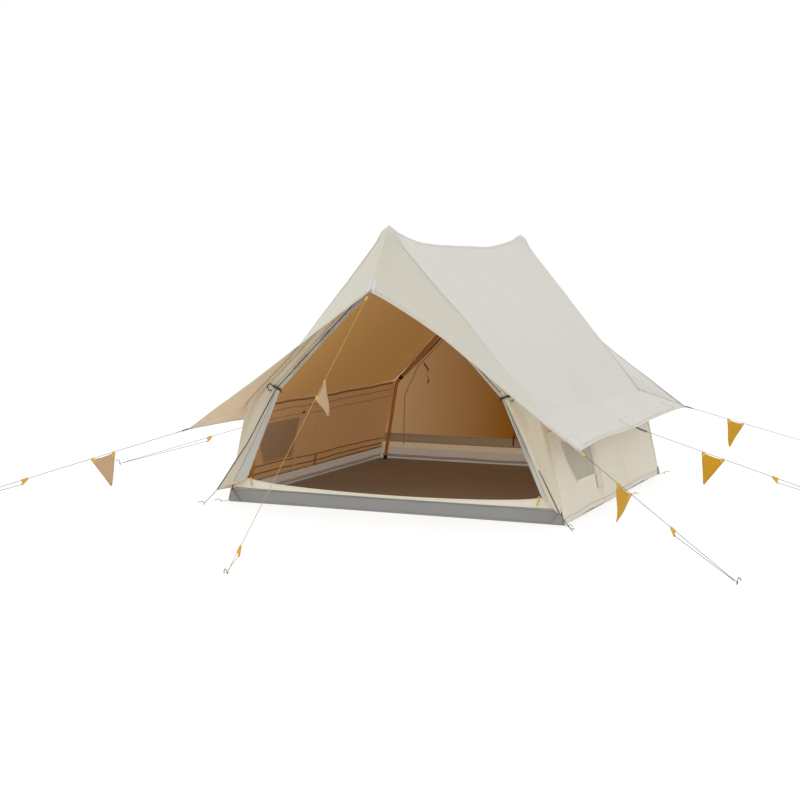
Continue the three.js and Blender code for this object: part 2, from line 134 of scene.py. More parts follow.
def add_mottle(material, color, spread=0.06, size=2.0, fine_size=24.0):
    """Colours the material with soft patches and a finer mottle."""
    tree = material.node_tree
    shader = tree.nodes["Principled BSDF"]
    place = tree.nodes.new("ShaderNodeTexCoord")
    ramp = tree.nodes.new("ShaderNodeValToRGB")
    ramp.color_ramp.elements[0].position = 0.3
    ramp.color_ramp.elements[1].position = 0.7
    ramp.color_ramp.elements[0].color = shade(color, 1 - spread)
    ramp.color_ramp.elements[1].color = shade(color, 1 + spread)
    broad = tree.nodes.new("ShaderNodeTexNoise")
    broad.inputs["Scale"].default_value = size
    broad.inputs["Detail"].default_value = 4
    fine = tree.nodes.new("ShaderNodeTexNoise")
    fine.inputs["Scale"].default_value = fine_size
    fine.inputs["Detail"].default_value = 6
    blend = tree.nodes.new("ShaderNodeMath")
    blend.operation = "MULTIPLY_ADD"
    blend.inputs[1].default_value = 0.35
    scaled = tree.nodes.new("ShaderNodeMath")
    scaled.operation = "MULTIPLY"
    scaled.inputs[1].default_value = 0.65
    for texture in (broad, fine):
        tree.links.new(place.outputs["Object"], texture.inputs["Vector"])
    tree.links.new(broad.outputs["Fac"], scaled.inputs[0])
    tree.links.new(fine.outputs["Fac"], blend.inputs[0])
    tree.links.new(scaled.outputs["Value"], blend.inputs[2])
    tree.links.new(blend.outputs["Value"], ramp.inputs["Fac"])
    tree.links.new(ramp.outputs["Color"], shader.inputs["Base Color"])
    return ramp


def weave_height(tree, place, pitch):
    """Adds a crossed thread pattern of the given pitch and returns its height."""
    waves = []
    for direction in ("X", "Y", "Z"):
        wave = tree.nodes.new("ShaderNodeTexWave")
        wave.bands_direction = direction
        wave.inputs["Scale"].default_value = 1 / (pitch * 20)
        wave.inputs["Distortion"].default_value = 0.4
        wave.inputs["Detail"].default_value = 1
        tree.links.new(place.outputs["Object"], wave.inputs["Vector"])
        waves.append(wave)
    first = tree.nodes.new("ShaderNodeMath")
    first.operation = "ADD"
    tree.links.new(waves[0].outputs["Fac"], first.inputs[0])
    tree.links.new(waves[1].outputs["Fac"], first.inputs[1])
    total = tree.nodes.new("ShaderNodeMath")
    total.operation = "ADD"
    tree.links.new(first.outputs["Value"], total.inputs[0])
    tree.links.new(waves[2].outputs["Fac"], total.inputs[1])
    return total


def add_weave(material, pitch=0.0012, depth=0.0002, crumple=0.0):
    """Gives the material's surface a woven relief and, if asked, fine crumples."""
    tree = material.node_tree
    shader = tree.nodes["Principled BSDF"]
    place = tree.nodes.new("ShaderNodeTexCoord")
    bump = tree.nodes.new("ShaderNodeBump")
    bump.inputs["Strength"].default_value = 0.35
    bump.inputs["Distance"].default_value = depth
    tree.links.new(weave_height(tree, place, pitch).outputs["Value"], bump.inputs["Height"])
    if crumple:
        creases = tree.nodes.new("ShaderNodeTexNoise")
        creases.inputs["Scale"].default_value = 9
        creases.inputs["Detail"].default_value = 5
        creases.inputs["Distortion"].default_value = 0.6
        under = tree.nodes.new("ShaderNodeBump")
        under.inputs["Strength"].default_value = 0.6
        under.inputs["Distance"].default_value = crumple
        tree.links.new(place.outputs["Object"], creases.inputs["Vector"])
        tree.links.new(creases.outputs["Fac"], under.inputs["Height"])
        tree.links.new(under.outputs["Normal"], bump.inputs["Normal"])
    tree.links.new(bump.outputs["Normal"], shader.inputs["Normal"])


def cloth_material(name, color, spread=0.05, crumple=0.004, glow=0.0, **look):
    material = new_material(name, roughness=0.92, sheen=0.15)
    add_mottle(material, color, spread, **look)
    add_weave(material, crumple=crumple)
    # glow is painted light: an emission that stands in for daylight shining through the cloth.
    if glow:
        shader = material.node_tree.nodes["Principled BSDF"]
        shader.inputs["Emission Color"].default_value = tuple(color) + (1.0,)
        shader.inputs["Emission Strength"].default_value = glow
    return material


def add_glow_across(material, light, dark, low, high):
    """Makes the light that comes through the cloth fade along X, from low to high."""
    tree = material.node_tree
    place = tree.nodes.new("ShaderNodeTexCoord")
    split = tree.nodes.new("ShaderNodeSeparateXYZ")
    share = tree.nodes.new("ShaderNodeMapRange")
    share.inputs["From Min"].default_value = low
    share.inputs["From Max"].default_value = high
    ramp = tree.nodes.new("ShaderNodeValToRGB")
    ramp.color_ramp.elements[0].color = (*light, 1)
    ramp.color_ramp.elements[1].color = (*dark, 1)
    tree.links.new(place.outputs["Object"], split.inputs["Vector"])
    tree.links.new(split.outputs["X"], share.inputs["Value"])
    tree.links.new(share.outputs["Result"], ramp.inputs["Fac"])
    tree.links.new(ramp.outputs["Color"], tree.nodes["Principled BSDF"].inputs["Emission Color"])


def plain_material(name, color, roughness, metallic=0.0, spread=0.08, size=30.0, scratches=0.0003):
    material = new_material(name, roughness, metallic)
    add_mottle(material, color, spread, size, 140.0)
    tree = material.node_tree
    place = tree.nodes.new("ShaderNodeTexCoord")
    grain = tree.nodes.new("ShaderNodeTexNoise")
    grain.inputs["Scale"].default_value = 220
    grain.inputs["Detail"].default_value = 4
    bump = tree.nodes.new("ShaderNodeBump")
    bump.inputs["Strength"].default_value = 0.4
    bump.inputs["Distance"].default_value = scratches
    tree.links.new(place.outputs["Object"], grain.inputs["Vector"])
    tree.links.new(grain.outputs["Fac"], bump.inputs["Height"])
    tree.links.new(bump.outputs["Normal"], tree.nodes["Principled BSDF"].inputs["Normal"])
    return material


# ROOF_IN, AWNING_IN, WALL_IN and GABLE_IN are the same canvas as outside, seen from inside and made darker and browner
# as painted shade. Every glow below is painted light shining through the cotton.
ROOF_OUT = cloth_material("roof_canvas_outside", (0.542, 0.525, 0.474), 0.03)
ROOF_IN = cloth_material("roof_canvas_inside", (0.42, 0.222, 0.062), 0.07, glow=0.45)
AWNING_OUT = cloth_material("awning_canvas_outside", (0.520, 0.496, 0.422), 0.03)
AWNING_IN = cloth_material("awning_canvas_inside", (0.50, 0.383, 0.243), 0.05, glow=0.34)
WALL_OUT = cloth_material("wall_canvas_outside", (0.627, 0.578, 0.477), 0.04)
WALL_IN = cloth_material("wall_canvas_inside", (0.44, 0.245, 0.105), 0.07, glow=0.34)
SILL_CLOTH = cloth_material("sill_canvas", (0.67, 0.62, 0.51), 0.04)
BORDER = cloth_material("door_border", (0.49, 0.48, 0.43), 0.06)
PATCH = cloth_material("reinforcement_patch", (0.56, 0.555, 0.57), 0.05)
GABLE_IN = cloth_material("gable_canvas_inside", (0.27, 0.140, 0.032), 0.07, glow=1.0)
# The gable's glow is painted light, brightest at the left and fading to painted shade towards the right.
add_glow_across(GABLE_IN, (0.250, 0.156, 0.078), (0.096, 0.034, 0.001), -1.0, -0.05)
MESH = cloth_material("insect_mesh", (0.38, 0.35, 0.275), 0.06)
REAR_MESH_IN = cloth_material("rear_mesh_inside", (0.34, 0.27, 0.18), 0.07, glow=0.22)
REAR_BAND_IN = cloth_material("rear_band_inside", (0.50, 0.41, 0.28), 0.07, glow=0.44)
MESH_IN = cloth_material("insect_mesh_inside", (0.30, 0.19, 0.10), 0.06, glow=0.22)
# Dark hems, zip and strap inside; also the painted shadow strips under the rear gable's top edge.
DARK_HEM_AND_SHADOW = cloth_material("dark_hem_and_shadow", (0.24, 0.12, 0.050), 0.08, glow=0.10)
HEM_MID = cloth_material("inner_band", (0.34, 0.185, 0.085), 0.08, glow=0.25)
MUD_OUT = cloth_material("mud_wall_outside", (0.245, 0.240, 0.230), 0.05)
# The mud wall's inside is paler than its outside as painted reflection; its glow is painted light.
MUD_IN = cloth_material("mud_wall_inside", (0.50, 0.455, 0.395), 0.10, glow=0.32, size=3.0)
FOOT_TAPE = cloth_material("foot_tape", (0.42, 0.40, 0.37), 0.06, glow=0.12)
MUD_DARK = cloth_material("corner_boot", (0.19, 0.18, 0.19), 0.06)
FLOOR_TOP = cloth_material("floor_cloth", (0.196, 0.150, 0.092), 0.16, glow=0.06, size=1.2)
ZIP = plain_material("zip_tape", (0.06, 0.055, 0.05), 0.6)
WEBBING = cloth_material("grey_webbing", (0.13, 0.135, 0.14), 0.08, crumple=0.0)
YELLOW = cloth_material("yellow_webbing", (0.66, 0.42, 0.03), 0.08, crumple=0.0)
CORD_PALE = cloth_material("pale_cord", (0.075, 0.073, 0.040), 0.08, crumple=0.0)
CORD_GOLD = cloth_material("golden_cord", (0.44, 0.27, 0.04), 0.08, crumple=0.0)
PENNANT_GOLD = cloth_material("golden_pennant", (0.515, 0.262, 0.004), 0.08)
PENNANT_SAND = cloth_material("sand_pennant", (0.47, 0.307, 0.172), 0.06)
POLE = plain_material("golden_pole", (0.60, 0.30, 0.055), 0.36, 0.45)
BLACK = plain_material("black_plastic", (0.018, 0.017, 0.016), 0.5)
RUNNER = plain_material("runner_plastic", (0.62, 0.33, 0.02), 0.45)
STEEL = plain_material("peg_steel", (0.30, 0.31, 0.32), 0.35, 0.9)

RED_STRAP = cloth_material("red_strap", (0.26, 0.05, 0.03), 0.08, crumple=0.0)
DOOR_OUT = cloth_material("door_canvas", (0.588, 0.535, 0.418), 0.05)
GREY_LINE = cloth_material("grey_piping", (0.23, 0.22, 0.20), 0.05, crumple=0.0)

# ---- Building helpers ----------------------------------------------------


def link(obj, material, body="tent"):
    bpy.context.scene.collection.objects.link(obj)
    materials = material if isinstance(material, (list, tuple)) else [material]
    for item in materials:
        obj.data.materials.append(item)
    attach(obj, body)
    return obj


class Cloth:
    """Collects grids of points and joins them into one smooth sheet."""

    def __init__(self):
        self.points = []
        self.faces = []
        self.materials = []
        self.known = {}

    def vertex(self, point):
        key = tuple(round(float(c), 4) for c in point)
        if key not in self.known:
            self.known[key] = len(self.points)
            self.points.append(tuple(float(c) for c in point))
        return self.known[key]

    def grid(self, points, facing, material=0, keep=None):
        """Adds a grid whose faces point towards facing. keep(row, column) may leave faces out."""
        ids = [[self.vertex(p) for p in row] for row in points]
        pts = np.array(points, float)
        across = pts[:-1, 1:] - pts[:-1, :-1]
        down = pts[1:, :-1] - pts[:-1, :-1]
        flip = np.cross(across, down).sum(axis=(0, 1)) @ np.array(facing, float) < 0
        for r in range(len(ids) - 1):
            for c in range(len(ids[0]) - 1):
                if keep and not keep(r, c):
                    continue
                ring = [ids[r][c], ids[r][c + 1], ids[r + 1][c + 1], ids[r + 1][c]]
                ring = [n for k, n in enumerate(ring) if n not in ring[:k]]
                if len(ring) < 3:
                    continue
                self.faces.append(ring[::-1] if flip else ring)
                self.materials.append(material(r, c) if callable(material) else material)

    def build(self, name, materials, thickness=CLOTH, inner=0, body="tent"):
        """Makes the piece. inner is how many slots further the inside's material is."""
        mesh = bpy.data.meshes.new(name)
        mesh.from_pydata(self.points, [], self.faces)
        mesh.polygons.foreach_set("material_index", self.materials)
        mesh.polygons.foreach_set("use_smooth", [True] * len(self.faces))
        mesh.update()
        obj = link(bpy.data.objects.new(name, mesh), materials, body)
        if thickness:
            solid = obj.modifiers.new("thickness", "SOLIDIFY")
            solid.thickness = thickness
            solid.offset = -1
            solid.use_even_offset = False
            solid.material_offset = inner
            solid.material_offset_rim = 0
        return obj


def surface(place, columns, rows):
    return [[place(c / columns, r / rows) for c in range(columns + 1)] for r in range(rows + 1)]


def wobble(point, height, size, seed=0.0):
    """A smooth random shift, the same for every layer of cloth at one place."""
    spot = Vector(point) / size + Vector((seed, seed * 0.7, -seed))
    return noise.noise_vector(spot) * height


def fan_fold(point, fold):
    """The lift of folds that fan out of a corner where the cloth is pulled."""
    corner, along, normal, reach, height, count, phase = fold
    away = Vector(point) - Vector(corner)
    distance = away.length
    if distance > 4 * reach or distance < 1e-4:
        return Vector((0, 0, 0))
    normal = Vector(normal).normalized()
    along = Vector(along).normalized()
    angle = math.atan2(away.dot(along.cross(normal)), away.dot(along))
    fade = math.exp(-distance / reach) * min(1, distance / 0.06)
    return normal * (height * fade * math.sin(count * angle + phase))


def band(name, path, across, width, thickness, material, body="tent", rounding=0.35):
    """A flat strip of webbing or tape along a path. across points over its width."""
    path = [Vector(p) for p in path]
    rings = []
    for n, point in enumerate(path):
        ahead = path[min(n + 1, len(path) - 1)] - path[max(n - 1, 0)]
        wide = Vector(across[n] if isinstance(across, list) else across)
        wide = (wide - ahead * (wide.dot(ahead) / ahead.length_squared)).normalized()
        thin = ahead.cross(wide).normalized()
        ring = []
        for a, b in ((1, 0), (0.93, 1), (0, 1), (-0.93, 1), (-1, 0), (-0.93, -1), (0, -1), (0.93, -1)):
            ring.append(point + wide * (a * width / 2) + thin * (b * thickness / 2))
        rings.append(ring)
    points = [p for ring in rings for p in ring]
    size = 8
    faces = []
    for n in range(len(rings) - 1):
        for k in range(size):
            a, b = n * size + k, n * size + (k + 1) % size
            faces.append((a, b, b + size, a + size))
    faces.append(tuple(range(size))[::-1])
    faces.append(tuple(range((len(rings) - 1) * size, len(rings) * size)))
    mesh = bpy.data.meshes.new(name)
    mesh.from_pydata(points, [], faces)
    mesh.polygons.foreach_set("use_smooth", [True] * len(faces))
    mesh.validate()
    mesh.update()
    return link(bpy.data.objects.new(name, mesh), material, body)


def cord_curve(name, points, radius, material, body="tent", smooth=False, sides=3):
    data = bpy.data.curves.new(name, "CURVE")
    data.dimensions = "3D"
    data.bevel_depth = radius
    data.bevel_resolution = sides
    data.use_fill_caps = True
    spline = data.splines.new("POLY")
    spline.points.add(len(points) - 1)
    for spot, point in zip(spline.points, points):
        spot.co = (*point, 1)
    spline.use_smooth = True
    return link(bpy.data.objects.new(name, data), material, body)


def smooth_path(points, steps=8):
    """A Catmull-Rom curve through a few given points."""
    points = [Vector(p) for p in points]
    padded = [points[0] * 2 - points[1]] + points + [points[-1] * 2 - points[-2]]
    path = []
    for n in range(1, len(padded) - 2):
        a, b, c, d = padded[n - 1:n + 3]
        for k in range(steps):
            t = k / steps
            path.append(0.5 * (2 * b + (c - a) * t + (2 * a - 5 * b + 4 * c - d) * t * t
                               + (3 * b - a - 3 * c + d) * t ** 3))
    path.append(points[-1])
    return path


def line(a, b, steps):
    return [Vector(a).lerp(Vector(b), n / steps) for n in range(steps + 1)]


# ---- Guy lines -----------------------------------------------------------


def guy_axes(guy):
    start = Vector(guy["start"])
    end = Vector((*guy["peg"], LOOP_HEIGHT))
    down = (end - start).normalized()
    level = Vector((0, 0, 1)).cross(down).normalized()
    return start, end, down, level, down.cross(level)


def guy_route(guy):
    """Down the line to the peg and half round it."""
    start, end, down, level, up = guy_axes(guy)
    length = (end - start).length
    near = start + down * (length - 0.03)
    route = line(start, near, 14)
    for step in range(7):
        angle = math.pi / 2 - math.pi * step / 6
        route.append(end + down * (LOOP_RADIUS * math.cos(angle)) + level * (LOOP_RADIUS * math.sin(angle)))
    return route


def return_route(guy):
    """Back from the peg to the runner's lower corner."""
    start, end, down, level, up = guy_axes(guy)
    corner = start + down * (guy["runner"] + RUNNER_BASE + 0.003) - up * RETURN_DROP
    return line(end - level * 0.003 - down * 0.02 - up * 0.001, corner, 24)


def polyline_length(points):
    return sum((Vector(b) - Vector(a)).length for a, b in zip(points, points[1:]))


def make_webbing(guy):
    """Webbing sewn to the canopy, in places under its canvas, and the yellow loop that takes the line."""
    start, _, down, level, up = guy_axes(guy)
    hold = Vector(guy["hold"]) if "hold" in guy else start - down * 0.03
    slant = (level + up).normalized()
    grey = band(f"tie_webbing_{guy['name']}", [hold] + line(start, start + down * 0.045, 3),
                slant, 0.014, 0.002, AWNING_OUT if guy["name"] in COVERED_WEBBING else WEBBING)
    loop = band(f"tie_loop_{guy['name']}", line(start + down * 0.052, start + down * 0.082, 4),
                level, 0.010, 0.006, YELLOW)
    return [grey, loop]


def make_pennant(guy):
    """A triangular flag of doubled cloth, hemmed, with a webbing tab at each top corner."""
    start, _, down, _, up = guy_axes(guy)
    origin = start + down * guy["pennant"]
    material = PENNANT_SAND if guy["name"] in ("front", "front_left") else PENNANT_GOLD
    body = f"pennant_{guy['name']}"
    level = down.cross(up)

    def place(u, v):
        half = PENNANT_BASE / 2 * (1 - v * 0.975)
        x = PENNANT_BASE / 2 + mix(-half, half, u)
        dip = 0.006 * math.sin(math.pi * u) * (1 - v)
        wave = 0.006 * v * math.sin(2.2 * math.pi * v + u) + 0.003 * math.sin(math.pi * u) * v
        return origin + down * x - up * (0.004 + dip + PENNANT_HEIGHT * v) + level * wave

    cloth = Cloth()
    cloth.grid(surface(place, 14, 20), level)
    flag = cloth.build(f"pennant_cloth_{guy['name']}", [material], 0.0014, body=body)
    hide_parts(f"pennant_{guy['name']}")
    pieces = [flag]
    for side, edge in (("upper", 0.0), ("lower", 1.0)):
        path = [place(edge, v / 8) for v in range(9)]
        hem = band(f"pennant_hem_{side}_{guy['name']}", path, down, 0.006, 0.0026, material, body)
        pieces.append(hem)
        middle = origin + down * (0.010 if side == "upper" else PENNANT_BASE - 0.010)
        ring = []
        for step in range(13):
            angle = 2 * math.pi * step / 12
            ring.append(middle + up * (0.0032 * math.cos(angle)) + level * (0.0032 * math.sin(angle)))
        tab = band(f"pennant_tab_{side}_{guy['name']}", ring, down, 0.018, 0.0012, YELLOW, body)
        pieces.append(tab)
        tail_from = middle - up * 0.003
        aim = place(0.08 if side == "upper" else 0.92, 0.12)
        tail = band(f"pennant_strap_{side}_{guy['name']}", line(tail_from, aim, 3), down, 0.014, 0.0034, YELLOW, body)
        pieces.append(tail)
    return pieces


def make_runner(guy):
    """The triangular slider, with softened edges and its holes' rims."""
    start, _, down, level, up = guy_axes(guy)
    origin = start + down * guy["runner"]
    outline = [(-0.024, -0.005), (0.020, -0.032), (0.020, 0.006), (-0.024, 0.006)]
    center = (-0.002, -0.006)
    points = []
    for depth, inset in ((-0.0045, 0.14), (-0.0030, 0.0), (0.0030, 0.0), (0.0045, 0.14)):
        for x, z in outline:
            px, pz = mix(x, center[0], inset), mix(z, center[1], inset)
            points.append(origin + down * px + up * pz + level * depth)
    faces = [(3, 2, 1, 0), (12, 13, 14, 15)]
    for layer in range(3):
        for k in range(4):
            a, b = layer * 4 + k, layer * 4 + (k + 1) % 4
            faces.append((a, b, b + 4, a + 4))
    mesh = bpy.data.meshes.new("runner")
    mesh.from_pydata(points, [], faces)
    body = f"runner_{guy['name']}"
    obj = link(bpy.data.objects.new(f"runner_plate_{guy['name']}", mesh), RUNNER, body)
    bevel = obj.modifiers.new("soft_edges", "BEVEL")
    bevel.width = 0.0014
    bevel.segments = 2
    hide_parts(f"guy_runner_{guy['name']}")
    pieces = [obj]
    for name, x, z in (("nose", -0.024, 0.0), ("base", 0.020, 0.0), ("return", 0.020, -RETURN_DROP)):
        spot = origin + down * x + up * z
        ring = [spot + level * (0.0026 * math.cos(a)) + up * (0.0026 * math.sin(a))
                for a in np.linspace(0, 2 * math.pi, 13)]
        rim = cord_curve(f"runner_rim_{name}_{guy['name']}", ring, 0.0009, RUNNER, body)
        pieces.append(rim)
    return pieces


def make_peg(guy):
    """The bent steel peg's head, with the loop of the line round it."""
    start, end, down, _, up = guy_axes(guy)
    slope = math.asin(-down.z)
    ground = -LOOP_HEIGHT / math.cos(slope) + 0.003 * math.tan(slope) + 0.0002
    shape = [(0, ground), (0, 0.018), (0.006, 0.029), (0.018, 0.031), (0.024, 0.020)]
    path = smooth_path([end + down * x + up * z for x, z in shape], 6)
    peg = cord_curve(f"peg_{guy['name']}", path, 0.003, STEEL, sides=4)
    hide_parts(f"guy_peg_{guy['name']}")
    return peg


def make_return(guy, material):
    """The strand from the peg back to the runner."""
    _, _, down, level, up = guy_axes(guy)
    path = return_route(guy)
    points, faces = [], []
    for center in path:
        for step in range(STRAND_SIDES):
            angle = 2 * math.pi * step / STRAND_SIDES
            points.append(center + (level * math.cos(angle) + up * math.sin(angle)) * CORD_RADIUS)
    for ring in range(len(path) - 1):
        for step in range(STRAND_SIDES):
            a = ring * STRAND_SIDES + step
            b = ring * STRAND_SIDES + (step + 1) % STRAND_SIDES
            faces.append((a, b, b + STRAND_SIDES, a + STRAND_SIDES))
    faces += [tuple(range(STRAND_SIDES)), tuple(reversed(range(len(points) - STRAND_SIDES, len(points))))]
    mesh = bpy.data.meshes.new("guy_return")
    mesh.from_pydata(points, [], faces)
    mesh.materials.append(material)
    strand = bpy.data.objects.new(f"guy_return_{guy['name']}", mesh)
    bpy.context.scene.collection.objects.link(strand)
    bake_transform(strand)
    return strand


def make_guy(guy):
    route = guy_route(guy)
    material = CORD_GOLD if guy["name"] == "front" else CORD_PALE
    cord = cord_curve(f"guy_line_{guy['name']}", route, CORD_RADIUS, material)
    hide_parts(f"guy_cord_{guy['name']}")
    pieces = make_webbing(guy) + make_runner(guy) + [make_peg(guy)]
    if guy["pennant"] is not None:
        pieces += make_pennant(guy)
    _, _, down, level, up = guy_axes(guy)
    corner = return_route(guy)[-1]
    knot = [corner + level * (0.0026 * math.cos(a)) + up * (0.0026 * math.sin(a)) + down * (0.0012 * a / 3)
            for a in np.linspace(0, 4 * math.pi, 25)]
    knot = cord_curve(f"guy_knot_{guy['name']}", knot, 0.0013, material, f"runner_{guy['name']}")
    pieces += [knot, make_return(guy, material)]
    tuple(route[0])
    polyline_length(route)


for guy in GUYS:
    make_guy(guy)

# ---- Canopy --------------------------------------------------------------

KNOB_RADIUS = 0.052
KNOB_DEPTH = 0.062
CANOPY_FOLDS = []
for side in (-1, 1):
    for end in (-1, 1):
        CANOPY_FOLDS.append(((side * CORNER_X, end * CORNER_Y, CORNER_Z), (-side, -end, 0.3),
                             (side * 0.4, end * 0.3, 0.8), 0.20, 0.005, 9, 0.4 * side))
        CANOPY_FOLDS.append(((0, end * PEAK_Y, PEAK_Z), (side, 0, -1.2), (side * 0.8, 0, 0.6),
                             0.22, 0.004, 12, 0.7 * end))
    CANOPY_FOLDS.append(((side * MIDDLE_X, 0, MIDDLE_Z), (-side, 0, 0.4), (side * 0.4, 0, 0.9), 0.16, 0.005, 8, 0.9))


def drape(point):
    """Where the canopy's cloth lies once it is pulled out by the poles and lines."""
    moved = Vector(point)
    for fold in CANOPY_FOLDS:
        moved += fan_fold(point, fold)
    moved += wobble(point, 0.009, 0.55, 1.0) + wobble(point, 0.0022, 0.13, 4.0)
    for end in (-1, 1):
        knob = Vector((0, end * (PEAK_Y - 0.010), PEAK_Z - KNOB_DEPTH))
        away = moved - knob
        if away.length < 4 * KNOB_RADIUS:
            moved = knob + away.normalized() * (away.length ** 4 + KNOB_RADIUS ** 4) ** 0.25
    return moved


def roof_point(u, v):
    """u runs along the ridge and v down the slope, both from 0 to 1."""
    half = mix(PEAK_Y, BREAK_Y, v)
    along = 2 * u - 1
    sag = RIDGE_SAG * (1 - abs(along) ** 3) * (1 - v) ** 2
    hollow = 0.012 * (1 - along ** 2) * math.sin(math.pi * v)
    return (mix(0, BREAK_X, v) - 0.6 * hollow, along * half, mix(PEAK_Z, BREAK_Z, v) - sag - 0.6 * hollow)


def eave_point(u, v):
    along = 2 * u - 1
    across = abs(along)
    bow = 4 * across * (1 - across)
    inner = (BREAK_X, along * BREAK_Y, BREAK_Z)
    corner_x = CORNER_X if along < 0 else REAR_CORNER_X
    outer = (mix(MIDDLE_X, corner_x, across) - EAVE_SCALLOP * bow, along * CORNER_Y,
             mix(MIDDLE_Z, CORNER_Z, across) + 0.006 * bow)
    return tuple(mix(a, b, v) for a, b in zip(inner, outer))


def awning_point(s, t, corner_x=CORNER_X, scallop=AWNING_SCALLOP):
    """s runs out from the crease to the hem, and t from the peak down to the eave corner."""
    reach = s * (1 - scallop * 4 * t * (1 - t))
    crease = (mix(0, BREAK_X, t), mix(PEAK_Y, BREAK_Y, t), mix(PEAK_Z, BREAK_Z, t))
    hem = (mix(0, corner_x, t), mix(TIP_Y, CORNER_Y, t), mix(TIP_Z, CORNER_Z, t))
    hollow = AWNING_HOLLOW * 4 * reach * (1 - reach) * math.sin(math.pi * t) ** 0.8
    x, y, z = (mix(a, b, reach) for a, b in zip(crease, hem))
    return (x - 0.5 * hollow, y - 0.6 * hollow, z - 0.5 * hollow)


def straight_awning_point(s, t):
    return awning_point(s, t, scallop=STRAIGHT_SCALLOP)


def rear_awning_point(s, t):
    return awning_point(s, t, REAR_CORNER_X, STRAIGHT_SCALLOP)


AWNINGS = {(-1, 1): awning_point, (-1, -1): straight_awning_point,
           (1, 1): rear_awning_point, (1, -1): rear_awning_point}


def toward_ends(share):
    """Spaces a share of 0 to 1 more closely near both ends."""
    return 0.5 - 0.5 * math.cos(math.pi * share)


def toward_top(share):
    return share ** 1.5


def mirrored(place, side, end=1):
    def placed(u, v):
        x, y, z = place(u, v)
        return (side * x, end * y, z)
    return placed


def draped(place, lift=0.0, toward=(0, 0, 1)):
    def placed(u, v):
        point = place(u, v)
        return drape(point) + Vector(toward).normalized() * lift
    return placed


def make_canopy():
    cloth = Cloth()
    for side in (-1, 1):
        roof = draped(mirrored(roof_point, side))
        eave = draped(mirrored(eave_point, side))
        cloth.grid(surface(lambda u, v: roof(toward_ends(u), toward_top(v)), 90, 60), (side, 0, 1), 0)
        cloth.grid(surface(lambda u, v: eave(toward_ends(u), v), 90, 10), (side, 0, 1),
                   lambda row, column: 2 if row else 0)
        for end in (-1, 1):
            awning = draped(mirrored(AWNINGS[end, side], side, end))
            skin = 1 if end < 0 else 2
            cloth.grid(surface(lambda s, t: awning(s ** 1.3, toward_top(t)), 16, 60), (side, end, 0.6), skin)
    canopy = cloth.build("canopy", [ROOF_OUT, AWNING_OUT, ROOF_OUT, ROOF_IN, AWNING_IN, AWNING_IN], inner=3)
    nodes = [f"{part}_{side}" for part in ("roof", "eave") for side in ("left", "right")]
    nodes += [f"awning_{end}_{side}" for end in ("front", "rear") for side in ("left", "right")]
    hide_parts(*nodes)
    return canopy


def patch(name, place, u_range, v_range, normal, material, steps=(8, 8), lift=0.0011):
    """A second layer of cloth sewn on over part of a surface."""
    (u0, u1), (v0, v1) = u_range, v_range
    moved = draped(place, lift, normal)
    cloth = Cloth()
    cloth.grid(surface(lambda u, v: moved(mix(u0, u1, u), mix(v0, v1, v)), *steps), normal)
    piece = cloth.build(name, [material], 0.0009)
    return piece


def edge_band(name, place, path, width, thickness, material, normal, shift=0.0):
    """A strip that follows the surface through the given (u, v) points."""
    points = [drape(place(u, v)) for u, v in path]
    normal = Vector(normal).normalized()
    across = []
    for n in range(len(points)):
        ahead = points[min(n + 1, len(points) - 1)] - points[max(n - 1, 0)]
        across.append(ahead.cross(normal))
    points = [p + w.normalized() * shift for p, w in zip(points, across)]
    piece = band(name, points, across, width, thickness, material)
    return piece


def span(start, end, steps):
    return [tuple(mix(a, b, n / steps) for a, b in zip(start, end)) for n in range(steps + 1)]


def make_canopy_details():
    """Hems, ridge and crease seams, and the patches where the lines pull."""
    pieces = []
    for side, side_name in ((-1, "left"), (1, "right")):
        roof = mirrored(roof_point, side)
        eave = mirrored(eave_point, side)
        pieces.append(edge_band(f"eave_hem_{side_name}", eave, span((0, 1), (1, 1), 84), 0.018, 0.0044,
                                ROOF_OUT, (side * 0.4, 0, 0.9)))
        pieces.append(edge_band(f"ridge_seam_{side_name}", roof, span((0.035, 0.010), (0.965, 0.010), 84), 0.012,
                                0.0028, ROOF_OUT, (side * 0.75, 0, 0.65)))
        for end, end_name in ((-1, "front"), (1, "rear")):
            tag = f"{end_name}_{side_name}"
            awning = mirrored(AWNINGS[end, side], side, end)
            trim = AWNING_OUT if end < 0 else ROOF_OUT
            normal = (side * 0.72, end * 0.30, 0.62)
            pieces.append(edge_band(f"awning_hem_{tag}", awning, span((1, 0), (1, 1), 60), 0.018, 0.0044,
                                    trim, normal))
            pieces.append(edge_band(f"crease_seam_{tag}", awning, span((0.012, 0.03), (0.012, 1), 44), 0.013,
                                    0.0021, ROOF_OUT, normal))
            end_u = (0.0, 0.075) if end < 0 else (0.925, 1.0)
            pieces.append(patch(f"corner_patch_{tag}", eave, end_u, (0.62, 0.99), (side * 0.4, 0, 0.9), ROOF_OUT))
            pieces.append(patch(f"corner_patch_awning_{tag}", awning, (0.62, 0.99), (0.93, 0.995), normal, trim))
            pieces.append(patch(f"tip_patch_{tag}", awning, (0.80, 0.99), (0.002, 0.020), normal, PATCH))
        pieces.append(patch(f"middle_patch_{side_name}", eave, (0.462, 0.538), (0.66, 0.99),
                            (side * 0.4, 0, 0.9), ROOF_OUT))
    return pieces


